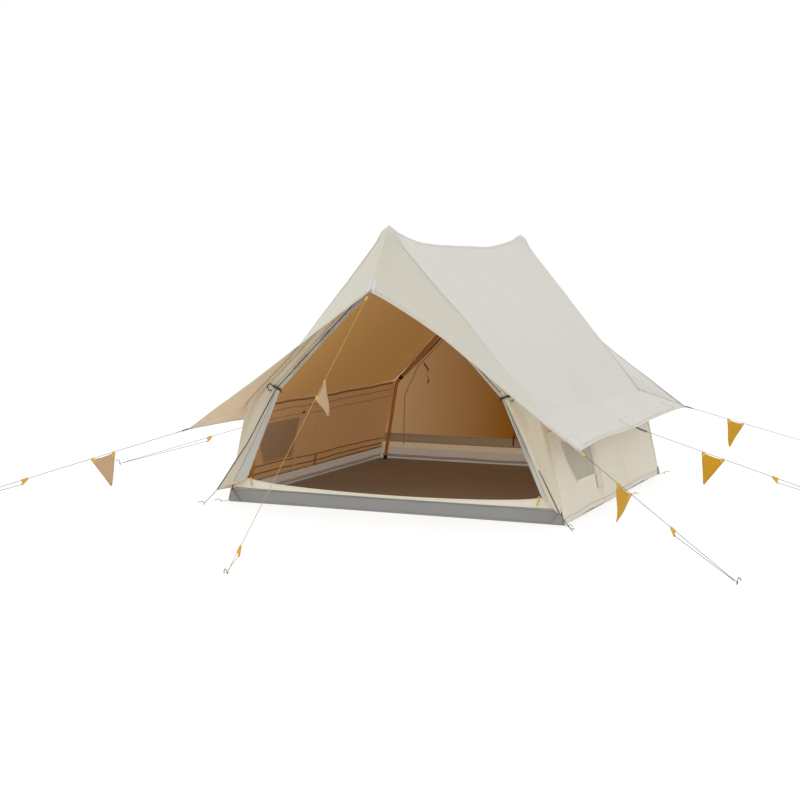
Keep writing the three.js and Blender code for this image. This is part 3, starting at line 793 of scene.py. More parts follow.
def make_spare_tabs():
    """Webbing loops at the rear for lines that aren't fitted."""
    spots = {"rear": (0, TIP_Y, TIP_Z, 0, 0.9), "rear_left": (-REAR_CORNER_X, CORNER_Y, CORNER_Z, -0.6, 0.6)}
    for name, (x, y, z, out_x, out_y) in spots.items():
        start = drape((x, y, z))
        way = Vector((out_x, out_y, -0.5)).normalized()
        wide = way.cross(Vector((0, 0, 1)))
        loop = [start - way * 0.03 + Vector((0, 0, 0.004)), start + way * 0.02, start + way * 0.045,
                start + way * 0.02 - Vector((0, 0, 0.008)), start - way * 0.02 - Vector((0, 0, 0.006))]
        tab = band(f"spare_tab_{name}", smooth_path(loop, 5), wide, 0.014, 0.0018, WEBBING)


make_spare_tabs()
canopy = make_canopy()
canopy_details = make_canopy_details()

# ---- Rear gable ----------------------------------------------------------


def gable_y(z):
    return GABLE_FOOT_Y + GABLE_LEAN * z


def wall_x(z):
    slope = (WALL_HEM_X - WALL_TOP_X) / (0.600 - 0.014)
    return WALL_TOP_X + (0.600 - z) * slope


def gable_top(t, end, side):
    """The point where a gable's cloth meets the underside of the awning."""
    awning = mirrored(AWNINGS[end, side], side, end)
    low, high = 0.0, 1.0
    for _ in range(24):
        middle = (low + high) / 2
        point = drape(awning(middle, t))
        low, high = (middle, high) if abs(point.y) < gable_y(point.z) else (low, middle)
    return (abs(point.x) if t else 0.0, point.z - GABLE_TOP_GAP)


GABLE_TOP_GAP = 0.007
TOP_LINES = {(end, side): [gable_top(t, end, side) for t in np.linspace(0.0, 1.0, 60)]
             for end in (-1, 1) for side in (-1, 1)}
APEX_Z = {end: TOP_LINES[end, 1][0][1] for end in (-1, 1)}


def gable_half(z, end, side):
    """Half the gable's width at a height, out to the awning or to the side wall."""
    stops = TOP_LINES[end, side][::-1]
    if z < stops[0][1]:
        return wall_x(z)
    return min(wall_x(z), float(np.interp(z, [stop[1] for stop in stops], [stop[0] for stop in stops])))


def cloth_wave(x, z, height=0.006, seed=0.0):
    """A gentle unevenness of hanging cloth, along Y."""
    spot = Vector((x / 0.22, seed, z / 0.5))
    return height * noise.noise(spot) + 0.35 * height * noise.noise(spot * 3.1)


GABLE_HEM_Z = 0.082


def rear_point(u, v):
    z = mix(GABLE_HEM_Z, APEX_Z[1] - 0.003, v)
    x = (2 * u - 1) * gable_half(z, 1, 1 if u > 0.5 else -1)
    loose = min(1, (z - GABLE_HEM_Z) / 0.2) * (1 - (2 * u - 1) ** 8)
    y = gable_y(z) + loose * cloth_wave(x, z, 0.010, 3.0) - 0.001
    return (x, y, z)


def make_rear_gable():
    def skin(row, column):
        z = mix(GABLE_HEM_Z, APEX_Z[1], (row + 0.5) / 96)
        if 0.139 < z < 0.193:
            return 1
        return 2 if z < 0.139 else 0

    cloth = Cloth()
    cloth.grid(surface(rear_point, 60, 96), (0, 1, 0), skin)
    gable = cloth.build("rear_gable_cloth", [WALL_OUT, MESH, SILL_CLOTH, GABLE_IN, REAR_MESH_IN, REAR_BAND_IN], inner=3)
    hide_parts("rear_gable")
    pieces = []

    def inside(x, z, lift=0.004):
        u = 0.5 + 0.5 * x / gable_half(z, 1, 1 if x > 0 else -1)
        v = (z - GABLE_HEM_Z) / (APEX_Z[1] - GABLE_HEM_Z - 0.003)
        px, py, pz = rear_point(u, v)
        return (px, py - CLOTH - lift, pz)

    def strip(name, path, width, material, lift=0.0012, thickness=0.0022, outside=False):
        points = [Vector(inside(x, z, lift)) for x, z in path]
        if outside:
            points = [p + Vector((0, CLOTH + 2 * lift + 0.0005, 0)) for p in points]
        across = []
        for n in range(len(points)):
            ahead = points[min(n + 1, len(points) - 1)] - points[max(n - 1, 0)]
            across.append(ahead.cross(Vector((0, 1, 0))))
        piece = band(name, points, across, width, thickness, material)
        pieces.append(piece)

    door = [(-0.90, 0.115), (-0.90, 0.5), (-0.80, 0.72), (-0.3, 1.24), (-0.012, 1.50)]
    for side, name in ((1, "left"), (-1, "right")):
        path = [(side * x, z) for x, z in door]
        path = [p for a, b in zip(path, path[1:]) for p in span(a, b, 10)[:-1]] + [path[-1]]
        strip(f"rear_door_seam_{name}", path, 0.008, HEM_MID)
        strip(f"rear_door_seam_outside_{name}", path, 0.016, WALL_OUT, outside=True)
    middle = span((-0.005, 0.20), (0.0, 1.50), 30)
    strip("rear_zip", middle, 0.012, DARK_HEM_AND_SHADOW)
    strip("rear_zip_outside", middle, 0.020, WALL_OUT, outside=True)
    for name, z, width, material in (("upper", 0.193, 0.007, SILL_CLOTH), ("lower", 0.139, 0.006, HEM_MID)):
        path = [(x, z) for x in np.linspace(-1.04, 1.04, 50)]
        strip(f"rear_band_{name}", path, width, material)
        strip(f"rear_band_outside_{name}", path, width, WALL_OUT, outside=True)
    # Dark strips under the gable's top edge, inside: painted shadow of the rear awning on the gable.
    for side, name in ((1, "left"), (-1, "right")):
        path = [(-side * (x - 0.014), z - 0.018) for x, z in TOP_LINES[1, -side] if 0.04 < x < 0.94]
        strip(f"rear_top_seam_{name}", path, 0.016, DARK_HEM_AND_SHADOW)
    strip("rear_strap_red", span((-0.01, 0.224), (-0.012, 0.148), 4), 0.012, RED_STRAP, 0.003)
    strip("rear_tie_back", span((-0.75, 0.749), (-0.711, 0.697), 4), 0.012, WEBBING, 0.004)
    strip("rear_tie_back_right", span((0.75, 0.749), (0.711, 0.697), 4), 0.012, WEBBING, 0.004)
    return gable, pieces


rear_gable, rear_pieces = make_rear_gable()
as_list(rear_pieces)

# ---- Front doors ---------------------------------------------------------

DOOR_APEX = (0.0, 1.435)
DOOR_TIE = (0.724, 0.726)
DOOR_FOOT = (0.966, 0.158)
WING_TIP = (1.104, 1.368, 0.091)
TIE_SHARE = 0.56
CORNER_SHARE = 0.66


def blend_points(stops, v):
    """Straight runs between stops of (share, x, y, z)."""
    shares = [stop[0] for stop in stops]
    return Vector([float(np.interp(v, shares, [stop[k] for stop in stops])) for k in (1, 2, 3)])


def door_curves(wing_out, side):
    tie_y = gable_y(DOOR_TIE[1])
    inner = [(0, DOOR_APEX[0], gable_y(DOOR_APEX[1]), DOOR_APEX[1])]
    for share in (0.14, 0.28, 0.42):
        part = share / TIE_SHARE
        x, z = mix(DOOR_APEX[0], DOOR_TIE[0], part), mix(DOOR_APEX[1], DOOR_TIE[1], part)
        bow = 0.014 * math.sin(math.pi * part)
        inner.append((share, x + 0.7 * bow, gable_y(z), z + 0.7 * bow))
    inner.append((TIE_SHARE, DOOR_TIE[0], tie_y + 0.004, DOOR_TIE[1]))
    inner.append((1, DOOR_FOOT[0], gable_y(DOOR_FOOT[1]) + 0.002, DOOR_FOOT[1]))
    zip_line = [(0, 0.0, gable_y(1.49), 1.49), (TIE_SHARE, 0.742, tie_y + 0.010, 0.742),
                (0.80, mix(0.742, 1.104, 0.52), mix(tie_y, WING_TIP[1], 0.44), mix(0.742, 0.091, 0.545)),
                (1, WING_TIP[0] + wing_out, WING_TIP[1], WING_TIP[2])]
    outer = []
    for share in np.linspace(0, CORNER_SHARE, 16):
        z = mix(APEX_Z[-1] - 0.004, 0.580, (share / CORNER_SHARE) ** 0.94)
        outer.append((share, gable_half(z, -1, side) - 0.002 if share else 0.0, gable_y(z), z))
    for share in (0.75, 0.88, 1):
        z = mix(0.580, MUD_TOP + 0.003, (share - CORNER_SHARE) / (1 - CORNER_SHARE))
        outer.append((share, wall_x(z) - 0.001, gable_y(z), z))
    return inner, zip_line, outer


ZIP_PART = 0.52


def door_point(curves, side):
    """u runs from the opening's edge to the outer edge, v from the top to the bottom."""
    inner, zip_line, outer = curves

    def place(u, v):
        a, b, c = (blend_points(curve, v) for curve in (inner, zip_line, outer))
        if u < ZIP_PART:
            share = u / ZIP_PART
            point = a.lerp(b, share)
        else:
            share = (u - ZIP_PART) / (1 - ZIP_PART)
            point = b.lerp(c, share)
        loose = max(0, v - TIE_SHARE) / (1 - TIE_SHARE)
        swell = 4 * share * (1 - share)
        fan = math.sin(11 * u + 2.0 * v + side) * (0.016 if side > 0 else 0.011) * min(1, 5 * loose) * (1 - 0.75 * loose) * swell
        pleat = 0.0035 * math.sin(26 * u) * swell * (1 - loose)
        soft = cloth_wave(point.x * 2, point.z, 0.007, 6.0 + side) * swell
        belly = 0.020 * swell * math.sin(math.pi * loose) * (1 if u < ZIP_PART else -0.6)
        return Vector((side * point.x, -(point.y + fan + pleat + soft - belly), point.z))

    return place


def make_door(side, name):
    curves = door_curves(0.0 if side > 0 else 0.012, side)
    place = door_point(curves, side)
    columns, rows = 40, 96

    def border_part(v):
        """How far the grey border reaches over the door, which lies narrower on the right."""
        if v < TIE_SHARE:
            return 0.34
        low = (v - TIE_SHARE) / (1 - TIE_SHARE)
        return mix(0.14, 0.20, low) if side > 0 else mix(0.46, 0.26, low)

    def skin(row, column):
        u, v = (column + 0.5) / columns, (row + 0.5) / rows
        return 1 if u < border_part(v) else 0

    cloth = Cloth()
    cloth.grid(surface(place, columns, rows), (0, -1, 0), skin)
    door = cloth.build(f"door_cloth_{name}", [DOOR_OUT, BORDER, ROOF_IN, HEM_MID], inner=2)
    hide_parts(f"door_upper_{name}", f"door_lower_{name}")

    def strip(tag, u, v0, v1, width, thickness, material, lift=0.0015, steps=60):
        shares = [mix(v0, v1, k / steps) for k in range(steps + 1)]
        points = [place(u(v) if callable(u) else u, v) + Vector((0, -lift, 0)) for v in shares]
        across = []
        for n in range(len(points)):
            ahead = points[min(n + 1, steps)] - points[max(n - 1, 0)]
            across.append(ahead.cross(Vector((0, 1, 0))))
        piece = band(f"door_{tag}_{name}", points, across, width, thickness, material)

    zip_from = 0.03 if side < 0 else 0.84
    strip("zip_line", ZIP_PART, zip_from, 1.0, 0.006, 0.003, ZIP)
    if side > 0:
        strip("zip_upper", ZIP_PART, 0.03, TIE_SHARE - 0.02, 0.005, 0.003, ZIP)
        strip("zip_cover", ZIP_PART, TIE_SHARE + 0.02, zip_from, 0.009, 0.003, DOOR_OUT)
    strip("zip_flap", ZIP_PART + 0.035, 0.03, 0.995, 0.010, 0.0018, DOOR_OUT)
    strip("border_edge", 0.004, 0.01, 1.0, 0.006, 0.0032, BORDER)
    strip("border_fold", lambda v: border_part(v) - 0.01, TIE_SHARE + 0.03, 0.99, 0.0022, 0.0012, GREY_LINE)
    strip("upper_fold", 0.33, 0.05, TIE_SHARE - 0.02, 0.0022, 0.0012, GREY_LINE)
    hem = [place(k / 24, 1.0) for k in range(25)]
    hem = band(f"door_hem_{name}", hem, (0, 0, 1), 0.009, 0.0032, DOOR_OUT)
    return place


door_left = make_door(-1, "left")
door_right = make_door(1, "right")

# ---- Side walls ----------------------------------------------------------

WINDOW = (-0.96, -0.42)
WINDOW_Z = (0.20, 0.46)
WINDOW_CUT = 0.9
WALL_REACH = 1.243


def wall_fold(y, z):
    """How far the wall stands in from its flat plane: soft gathers below the eave."""
    down = (WALL_TOP_Z - z) / (WALL_TOP_Z - WALL_HEM_Z)
    wave = 0.008 * noise.noise(Vector((y / 0.16, 0.3, z / 0.5)))
    wave += 0.0045 * noise.noise(Vector((y / 0.05, 2.3, z / 0.25))) * down
    wave += 0.004 * math.exp(-((y + 1.05) / 0.12) ** 2) * math.sin(60 * y + 30 * z)
    gather = 0.008 * math.exp(-((y + 0.34) / 0.06) ** 2) * math.sin(130 * y)
    gather += 0.004 * math.exp(-((y - 0.20) / 0.09) ** 2) * math.sin(95 * y) * (1 - down)
    ends = min(1, (WALL_REACH - abs(y)) / 0.03 + 0.1)
    return (wave + gather) * ends * min(1, 8 * down + 0.05)


def wall_top(side, y):
    """The height of the canopy's underside over the wall at y."""
    line_here = TOP_LINES[-1 if y < 0 else 1, side]
    corner_z = min(line_here, key=lambda stop: abs(stop[0] - WALL_TOP_X))[1] - 0.004
    edge = max(-1, min(1, y / (BREAK_Y + 0.008)))
    under = drape(mirrored(eave_point, side)((edge + 1) / 2, 0.03)).z - 0.004
    past = max(0, (abs(y) - BREAK_Y) / (gable_y(corner_z) - BREAK_Y))
    return mix(under, corner_z, min(1, past))


def wall_point(side):
    tops = [wall_top(side, y) for y in np.linspace(-1.28, 1.28, 129)]

    def place(u, v):
        near = (2 * u - 1) * gable_y(WALL_TOP_Z)
        top = float(np.interp(near, np.linspace(-1.28, 1.28, 129), tops))
        z = mix(top, WALL_HEM_Z, v)
        y = (2 * u - 1) * (gable_y(z) + 0.0005)
        lift = 0.008 * math.sin(math.pi * u * 2) ** 2 * v
        return Vector((side * (wall_x(z) - 0.0015 + wall_fold(y, z)), y, z + lift))
    return place


def make_wall(side, name):
    place = wall_point(side)
    columns, rows = 150, 48

    def skin(row, column):
        y = ((column + 0.5) / columns * 2 - 1) * GABLE_FOOT_Y
        z = mix(WALL_TOP_Z, WALL_HEM_Z, (row + 0.5) / rows)
        if z < MUD_TOP:
            return 2
        low = WINDOW[0] + WINDOW_CUT * max(0, 0.34 - z)
        return 1 if low < y < WINDOW[1] and WINDOW_Z[0] < z < WINDOW_Z[1] else 0

    cloth = Cloth()
    cloth.grid(surface(place, columns, rows), (side, 0, 0), skin)
    wall = cloth.build(f"wall_cloth_{name}", [WALL_OUT, MESH, WALL_OUT, WALL_IN, MESH_IN, WALL_OUT], inner=3)
    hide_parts(f"wall_{name}")

    def on_wall(y, z, lift):
        u = 0.5 + 0.5 * y / gable_y(z)
        v = (WALL_TOP_Z - z) / (WALL_TOP_Z - WALL_HEM_Z)
        return place(u, v) + Vector((side * lift, 0, 0))

    def strip(tag, path, width, thickness, material, lift, across=(0, 0, 1), slot="wall_canvas"):
        points = [on_wall(y, z, lift) for y, z in path]
        piece = band(f"wall_{tag}_{name}", points, across, width, thickness, material)

    outside, inside = 0.0012, -CLOTH - 0.0014
    (low, high), (bottom, top) = WINDOW, WINDOW_Z
    cut = low + WINDOW_CUT * (0.34 - bottom)
    frame_sides = {
        "sill": (span((cut, bottom), (high, bottom), 24), (0, 0, 1)),
        "head": (span((low, top), (high, top), 24), (0, 0, 1)),
        "front_jamb": (span((cut, bottom - 0.004), (low, 0.34), 10)[:-1] + span((low, 0.34), (low, top), 6), (0, 1, 0)),
        "rear_jamb": (span((high, bottom - 0.008), (high, top + 0.008), 12), (0, 1, 0)),
    }
    for tag, (path, across) in frame_sides.items():
        strip(f"window_{tag}_outside", path, 0.014, 0.0018, WALL_OUT, outside, across)
        strip(f"window_{tag}_inside", path, 0.016, 0.0020, HEM_MID, inside, across)
    strip("hem_outside", span((-1.236, 0.026), (1.236, 0.026), 100), 0.020, 0.0024, WALL_OUT, outside)
    strip("seam_outside", span((-1.22, 0.53), (1.22, 0.53), 80), 0.014, 0.0020, WALL_OUT, outside)
    strip("junction_inside", span((-1.17, 0.592), (1.17, 0.592), 80), 0.012, 0.0022, DARK_HEM_AND_SHADOW, inside)
    strip("band_inside_top", span((-1.20, 0.545), (1.20, 0.545), 80), 0.010, 0.0022, HEM_MID, inside)
    strip("band_inside_low", span((-1.20, 0.490), (1.20, 0.490), 80), 0.007, 0.0022, HEM_MID, inside)
    strip("hem_inside_top", span((-1.22, 0.185), (1.22, 0.160), 80), 0.008, 0.0024, DARK_HEM_AND_SHADOW, inside)
    strip("hem_inside_low", span((-1.22, 0.131), (1.22, 0.118), 80), 0.009, 0.0024, DARK_HEM_AND_SHADOW, inside)
    for tag, y in (("front", -1.232), ("rear", 1.232)):
        strip(f"corner_seam_{tag}", span((y, 0.10), (y, 0.56), 20), 0.010, 0.0024, WALL_OUT, outside, (0, 1, 0))

    def curtain(u, v):
        y = high + mix(0.004, 0.100, u) * mix(0.85, 1.1, v) + 0.004 * math.sin(9 * v)
        z = mix(0.47, 0.11, v)
        fold = 0.006 * math.sin(7 * math.pi * u + 1.5 * v) * math.sin(math.pi * u) ** 0.5
        return on_wall(y, z, 0.004 + 0.006 * math.sin(math.pi * u) + fold)

    drawn = Cloth()
    drawn.grid(surface(curtain, 40, 30), (side, 0, 0))
    drawn = drawn.build(f"window_curtain_{name}", [WALL_OUT], 0.0010)
    return on_wall


wall_left = make_wall(-1, "left")
wall_right = make_wall(1, "right")

# ---- Groundsheet ---------------------------------------------------------


def mud_x(z):
    return wall_x(z) - (wall_x(0) - FLOOR_X)


def make_floor():
    def place(u, v):
        x, y = mix(-FLOOR_X + 0.003, FLOOR_X - 0.003, u), mix(-FLOOR_Y + 0.003, FLOOR_Y - 0.003, v)
        rise = 0.004 + 0.004 * noise.fractal(Vector((x / 0.35, y / 0.35, 0)), 0.8, 2.0, 3)
        edge = min(FLOOR_X - abs(x), FLOOR_Y - abs(y))
        return (x, y, 0.003 + max(0.0, rise) * min(1, edge / 0.05))

    cloth = Cloth()
    cloth.grid(surface(place, 90, 100), (0, 0, 1))
    floor = cloth.build("floor_sheet", [FLOOR_TOP], 0.0014)
    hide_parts("groundsheet_floor")


def make_mud_walls():
    """The floor cloth's turned-up edges."""
    for side, name in ((-1, "left"), (1, "right")):
        def place(u, v, side=side):
            z = mix(MUD_TOP, 0.0015, v)
            y = (2 * u - 1) * (FLOOR_Y - 0.002)
            wave = 0.0022 * noise.noise(Vector((y / 0.12, 5.0 + side, z / 0.08)))
            return (side * (mud_x(z) - 0.003 + wave), y, z)
        cloth = Cloth()
        cloth.grid(surface(place, 110, 8), (side, 0, 0))
        strip = cloth.build(f"mud_strip_{name}", [MUD_OUT, MUD_IN], 0.0016, inner=1)
        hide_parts(f"mud_wall_{name}")
    for end, name in ((-1, "front"), (1, "rear")):
        top = MUD_TOP if end < 0 else MUD_TOP + 0.002

        def place(u, v, end=end, top=top):
            z = mix(top, 0.0015, v)
            x = (2 * u - 1) * mud_x(z)
            wave = 0.0030 * noise.noise(Vector((x / 0.14, 8.0 + end, z / 0.09)))
            return (x, end * (FLOOR_Y + wave - 0.001), z)
        cloth = Cloth()
        cloth.grid(surface(place, 110, 10), (0, end, 0))
        strip = cloth.build(f"mud_strip_{name}", [MUD_OUT, MUD_IN], 0.0016, inner=1)
        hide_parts(f"mud_wall_{name}")
        path = [(x, end * (FLOOR_Y + 0.0012), 0.006) for x in np.linspace(-FLOOR_X, FLOOR_X, 40)]
        seam = band(f"mud_seam_{name}", path, (0, 0, 1), 0.010, 0.002, MUD_OUT)


def sill_top(x):
    """The sill's edge sags between the door feet, first steeply and then gently."""
    share = min(1, abs(x) / 0.966)
    return SILL_MIDDLE + 0.036 * share ** 2 + (SILL_TOP - SILL_MIDDLE - 0.036) * share ** 10


def make_sill():
    def place(u, v):
        x = (2 * u - 1) * mud_x(0.12)
        z = mix(sill_top(x), MUD_TOP - 0.004, v)
        wave = 0.0030 * noise.noise(Vector((x / 0.13, 1.0, z / 0.09)))
        return (x, -(FLOOR_Y + 0.0022 + wave), z)

    cloth = Cloth()
    cloth.grid(surface(place, 110, 8), (0, -1, 0))
    sill = cloth.build("front_sill_cloth", [SILL_CLOTH, WALL_IN], 0.0016, inner=1)
    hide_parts("front_sill")
    for tag, v, width, material in (("top", 0.04, 0.008, SILL_CLOTH), ("foot", 0.93, 0.006, GREY_LINE)):
        path = [Vector(place(u, v)) + Vector((0, -0.0006, 0)) for u in np.linspace(0.004, 0.996, 80)]
        piece = band(f"sill_binding_{tag}", path, (0, 0, 1), width, 0.0028, material)


def make_foot_strips():
    """The pale tape over the seam between the floor and its turned-up edges, inside."""
    runs = [("left", [(-mud_x(0.03) + 0.006, y, 0.028) for y in np.linspace(-1.22, 1.22, 60)]),
            ("right", [(mud_x(0.03) - 0.006, y, 0.028) for y in np.linspace(-1.22, 1.22, 60)]),
            ("rear", [(x, FLOOR_Y - 0.006, 0.028) for x in np.linspace(-1.07, 1.07, 50)])]
    for name, path in runs:
        path = [Vector(p) + Vector((0, 0, 0.006 * noise.noise(Vector(p) * 4))) for p in path]
        tape = band(f"foot_tape_{name}", path, (0, 0, 1), 0.020, 0.0022, FOOT_TAPE)
    strap = [(-1.062, -0.018, 0.165), (-1.074, -0.018, 0.10), (-1.084, -0.020, 0.03)]
    strap = band("wall_strap_left", smooth_path(strap, 5), (0, 1, 0), 0.026, 0.0024, DARK_HEM_AND_SHADOW)


make_floor()
make_foot_strips()
make_mud_walls()
make_sill()

# ---- Poles ---------------------------------------------------------------

POLE_RADIUS = 0.0125
COLLAR_RADIUS = 0.0155
POLE_BEND = 0.035
COLLAR_LENGTH = 0.030
APEX_ARM = 0.070


def arc(start, knee, end, steps):
    """A quadratic bend from start to end round the knee."""
    points = []
    for n in range(steps + 1):
        t = n / steps
        points.append(start * (1 - t) ** 2 + knee * (2 * t * (1 - t)) + end * t * t)
    return points


def make_pole(side, side_name, end, end_name):
    tag = f"{end_name}_{side_name}"
    foot = Vector((side * 1.007, end * 1.130, 0.0055))
    elbow = Vector((side * 0.939, end * 1.189, 0.601))
    apex = Vector((0, end * 1.2976, 1.690))
    leg_way = (elbow - foot).normalized()
    rafter_way = (apex - elbow).normalized()
    rafter = (apex - elbow).length
    bend = arc(elbow - leg_way * POLE_BEND, elbow, elbow + rafter_way * POLE_BEND, 12)
    leg = line(foot, bend[0], 10)[:-1] + bend
    leg = cord_curve(f"pole_shin_{tag}", leg, POLE_RADIUS, POLE, sides=6)
    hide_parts(f"pole_leg_{tag}")
    collar_from = elbow + rafter_way * POLE_BEND
    collar_to = collar_from + rafter_way * COLLAR_LENGTH
    # A brown band beside each rafter: painted shade along the rafter, together with the canvas's dark hem there.
    shade_from = elbow + rafter_way * 0.09 + Vector((-side * 0.010, end * 0.006, -0.010))
    shade_to = elbow + rafter_way * (rafter - 0.09) + Vector((-side * 0.010, end * 0.006, -0.010))
    sleeve = band(f"pole_painted_shade_{tag}", line(shade_from, shade_to, 20), (0, 1, 0), 0.045, 0.0022, HEM_MID)
    collar = cord_curve(f"pole_joint_{tag}", line(collar_from, collar_to, 3), COLLAR_RADIUS, BLACK, sides=6)
    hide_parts(f"pole_collar_{tag}")
    for n, share in enumerate((0.12, 0.88)):
        spot = collar_from.lerp(collar_to, share)
        ring = cord_curve(f"pole_joint_rim_{n}_{tag}", [spot - rafter_way * 0.002, spot + rafter_way * 0.002],
                          COLLAR_RADIUS + 0.0012, BLACK, sides=6)
    top = elbow + rafter_way * (rafter - APEX_ARM)
    run = cord_curve(f"pole_run_{tag}", line(collar_to, top, 12), POLE_RADIUS, POLE, sides=6)
    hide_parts(f"pole_rafter_{tag}")
    seam_at = elbow + rafter_way * (rafter * 0.52)
    seam = cord_curve(f"pole_sleeve_{tag}", [seam_at, seam_at + rafter_way * 0.045], POLE_RADIUS + 0.0010, POLE, sides=6)
    cap = cord_curve(f"pole_foot_{tag}", [foot, foot + leg_way * 0.006, foot + leg_way * 0.030],
                     POLE_RADIUS + 0.0022, BLACK, sides=6)


for end, end_name in ((-1, "front"), (1, "rear")):
    for side, side_name in ((-1, "left"), (1, "right")):
        make_pole(side, side_name, end, end_name)
    apex = Vector((0, end * 1.2976, 1.690))
    right_arm = apex + (Vector((0.939, end * 1.189, 0.601)) - apex).normalized() * APEX_ARM
    left_arm = Vector((-right_arm.x, right_arm.y, right_arm.z))
    joint = cord_curve(f"apex_joint_{end_name}", arc(left_arm, apex, right_arm, 10), COLLAR_RADIUS - 0.001,
                       BLACK, sides=6)
    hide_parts(f"apex_connector_{end_name}")

# ---- Toggles, zips, straps and small pegs --------------------------------


def toggle(name, place, along):
    """A black barrel toggle with a waist."""
    place, along = Vector(place), Vector(along).normalized()
    profile = ((-0.016, 0.0030), (-0.013, 0.0052), (-0.004, 0.0045), (0.004, 0.0045), (0.013, 0.0052), (0.016, 0.0030))
    side = along.orthogonal().normalized()
    other = along.cross(side)
    points, faces = [], []
    for reach, radius in profile:
        for k in range(12):
            angle = 2 * math.pi * k / 12
            points.append(place + along * reach + (side * math.cos(angle) + other * math.sin(angle)) * radius)
    for r in range(len(profile) - 1):
        for k in range(12):
            a, b = r * 12 + k, r * 12 + (k + 1) % 12
            faces.append((a, b, b + 12, a + 12))
    faces.append(tuple(range(12))[::-1])
    faces.append(tuple(range(len(points) - 12, len(points))))
    mesh = bpy.data.meshes.new(name)
    mesh.from_pydata(points, [], faces)
    mesh.polygons.foreach_set("use_smooth", [True] * len(faces))
    piece = link(bpy.data.objects.new(name, mesh), BLACK)


def small_cord(name, points, radius=0.0013, material=None):
    piece = cord_curve(name, smooth_path(points, 6), radius, material or BLACK)


def make_ties():
    y = -gable_y(DOOR_TIE[1])
    for side, name in ((-1, "left"), (1, "right")):
        x, z = side * DOOR_TIE[0], DOOR_TIE[1]
        toggle(f"door_toggle_{name}", (x - side * 0.012, y - 0.020, z - 0.002), (side * 0.35, -0.15, 0.9))
        wrap = [(x - side * 0.010, y - 0.016, z), (x + side * 0.010, y - 0.024, z + 0.012),
                (x + side * 0.034, y - 0.018, z + 0.020), (x + side * 0.050, y - 0.004, z + 0.022)]
        strap = band(f"door_strap_{name}", smooth_path(wrap, 5), (0.3 * side, -0.2, 1), 0.014, 0.0030, BLACK)
        loop = [(side * 0.772, y - 0.006, z + 0.024), (side * 0.786, y - 0.018, z + 0.036),
                (side * 0.800, y - 0.026, z + 0.020), (side * 0.792, y - 0.022, z - 0.002),
                (side * 0.776, y - 0.014, z - 0.006)]
        small_cord(f"door_loop_{name}", loop, 0.0030)
    toggle("rear_toggle", (-0.708, 1.262, 0.612), (0.2, 0, 1))
    small_cord("rear_toggle_cord", [(-0.711, 1.268, 0.697), (-0.716, 1.258, 0.66), (-0.708, 1.262, 0.622)])
    toggle("wall_toggle_left", (-0.975, -0.398, 0.502), (0, 1, 0.2))
    toggle("wall_toggle_right", (0.975, -0.398, 0.502), (0, 1, 0.2))


SLIDER_Z = 0.1559


def make_zip_slider(side, name):
    """The slider's body over the sill's top edge, with its pull."""
    x, y, z = side * 0.944, -FLOOR_Y, SLIDER_Z
    body = f"zip_{name}"
    outline = [(-0.0045, -0.010), (0.0045, -0.010), (0.0055, 0.004), (0.003, 0.0075), (-0.003, 0.0075), (-0.0055, 0.004)]
    points = [(x + a, y - 0.0075, z + b) for a, b in outline] + [(x + a, y + 0.0075, z + b) for a, b in outline]
    faces = [tuple(range(6)), tuple(range(11, 5, -1))]
    faces += [(k, k + 6, (k + 1) % 6 + 6, (k + 1) % 6) for k in range(6)]
    mesh = bpy.data.meshes.new("zip_slider")
    mesh.from_pydata(points, [], faces)
    slider = link(bpy.data.objects.new(f"zip_slider_body_{name}", mesh), YELLOW, body)
    bevel = slider.modifiers.new("soft_edges", "BEVEL")
    bevel.width = 0.001
    bevel.segments = 2
    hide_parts(f"zip_slider_{name}")
    sway = 0.014 * side
    pull = [(x, y - 0.0085, z - 0.004), (x - 0.3 * sway, y - 0.012, z - 0.02), (x - sway, y - 0.011, z - 0.050)]
    pull = band(f"zip_pull_{name}", smooth_path(pull, 5), (1, 0, 0), 0.007, 0.0018, YELLOW, body)


def small_peg(name, hold, ground, path):
    """A webbing loop from the tent and the small hooked peg that holds it."""
    hold, ground = Vector(hold), Vector(ground)
    sag = hold.lerp(ground, 0.5) - Vector((0, 0, 0.002))
    way = ground - hold
    strap = band(f"strap_{name}", smooth_path([hold, sag, ground], 5), way.cross(Vector((0, 0, 1))), 0.007, 0.0016, WEBBING)
    hook = cord_curve(f"small_peg_{name}", smooth_path([ground + Vector(p) for p in path], 6), 0.0022, STEEL)


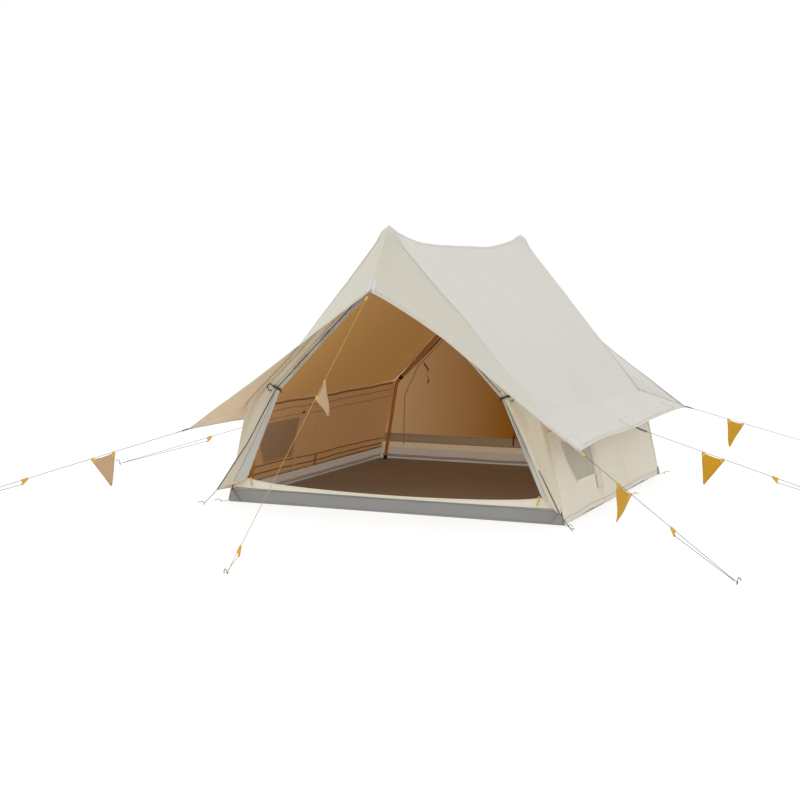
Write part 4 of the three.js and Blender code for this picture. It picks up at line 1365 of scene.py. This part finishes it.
def make_straps():
    for side, name in ((-1, "left"), (1, "right")):
        tip = (side * (WING_TIP[0] + (0.012 if side < 0 else 0)), -WING_TIP[1], WING_TIP[2])
        spot = (-1.167, -1.447, 0.010) if side < 0 else (1.195, -1.425, 0.010)
        small_peg(f"wing_{name}", tip, spot,
                  [(side * 0.006, 0.004, -0.0095), (0, 0, 0.004), (side * 0.008, -0.010, 0.014), (side * 0.026, -0.034, 0.010)])
        for end, end_name in ((-1, "front"), (1, "rear")):
            hold = (side * FLOOR_X, end * FLOOR_Y, 0.008)
            small_peg(f"corner_{end_name}_{name}", hold, (side * 1.135, end * 1.286, 0.008),
                      [(side * 0.002, 0, -0.0075), (0, 0, 0.004), (side * 0.014, end * 0.010, 0.010),
                       (side * 0.034, end * 0.026, 0.004)])
        small_peg(f"middle_{name}", (side * 1.100, 0.152, 0.016), (side * 1.180, 0.150, 0.008),
                  [(0, 0, -0.0075), (0, 0, 0.004), (side * 0.014, -0.012, 0.010), (side * 0.036, -0.030, 0.004)])
        for end, end_name in ((-1, "front"), (1, "rear")):
            def boot(u, v, side=side, end=end):
                z = mix(0.085 if end < 0 else 0.060, 0.006, v)
                angle = mix(-1, 1, u)
                x = (mud_x(z) + 0.003 if end < 0 else wall_x(z) + 0.003) - max(0, angle) * 0.08 * v
                y = (FLOOR_Y if end < 0 else gable_y(z)) + 0.004 - max(0, -angle) * 0.08 * v
                return (side * x, end * y, z)
            cloth = Cloth()
            cloth.grid(surface(boot, 10, 8), (side, end, 0))
            boot_cloth = MUD_OUT if end < 0 else MUD_DARK
            piece = cloth.build(f"corner_boot_{end_name}_{name}", [boot_cloth], 0.0012)


make_ties()
make_zip_slider(-1, "left")
make_zip_slider(1, "right")
make_straps()

# ---- Stage and light -----------------------------------------------------


def make_light(name, place, aim, size, power, color=(1, 1, 1)):
    data = bpy.data.lights.new(name, "AREA")
    data.shape = "DISK"
    data.size = size
    data.energy = power
    data.color = color
    lamp = bpy.data.objects.new(name, data)
    lamp.location = place
    lamp.rotation_euler = (Vector(aim) - Vector(place)).to_track_quat("-Z", "Y").to_euler()
    bpy.context.scene.collection.objects.link(lamp)
    return lamp


def make_stage():
    mesh = bpy.data.meshes.new("studio_floor")
    reach = 60
    mesh.from_pydata([(-reach, -reach, 0), (reach, -reach, 0), (reach, reach, 0), (-reach, reach, 0)],
                     [], [(0, 1, 2, 3)])
    floor = bpy.data.objects.new("studio_floor", mesh)
    bpy.context.scene.collection.objects.link(floor)
    material = new_material("studio_floor", 1.0)
    add_mottle(material, (0.26, 0.26, 0.26), 0.005)
    shader = material.node_tree.nodes["Principled BSDF"]
    shader.inputs["Emission Color"].default_value = (1, 1, 1, 1)
    shader.inputs["Emission Strength"].default_value = 0.75
    mesh.materials.append(material)
    lamps = [
        make_light("key", (-4.5, -6.5, 7.5), (0, 0, 0.6), 5, 150, (1.0, 0.985, 0.96)),
        make_light("fill", (7, -5, 4), (0, 0, 0.6), 5, 40, (0.97, 0.985, 1.0)),
        make_light("top", (0, 1, 8), (0, 0, 0), 6, 60),
        make_light("back", (2, 8, 5), (0, 0, 0.6), 5, 40),
    ]
    world = bpy.data.worlds.new("studio")
    world.use_nodes = True
    world.node_tree.nodes["Background"].inputs["Color"].default_value = (1, 1, 1, 1)
    world.node_tree.nodes["Background"].inputs["Strength"].default_value = 1.0
    bpy.context.scene.world = world
    bpy.context.scene.view_settings.view_transform = "Standard"


make_stage()
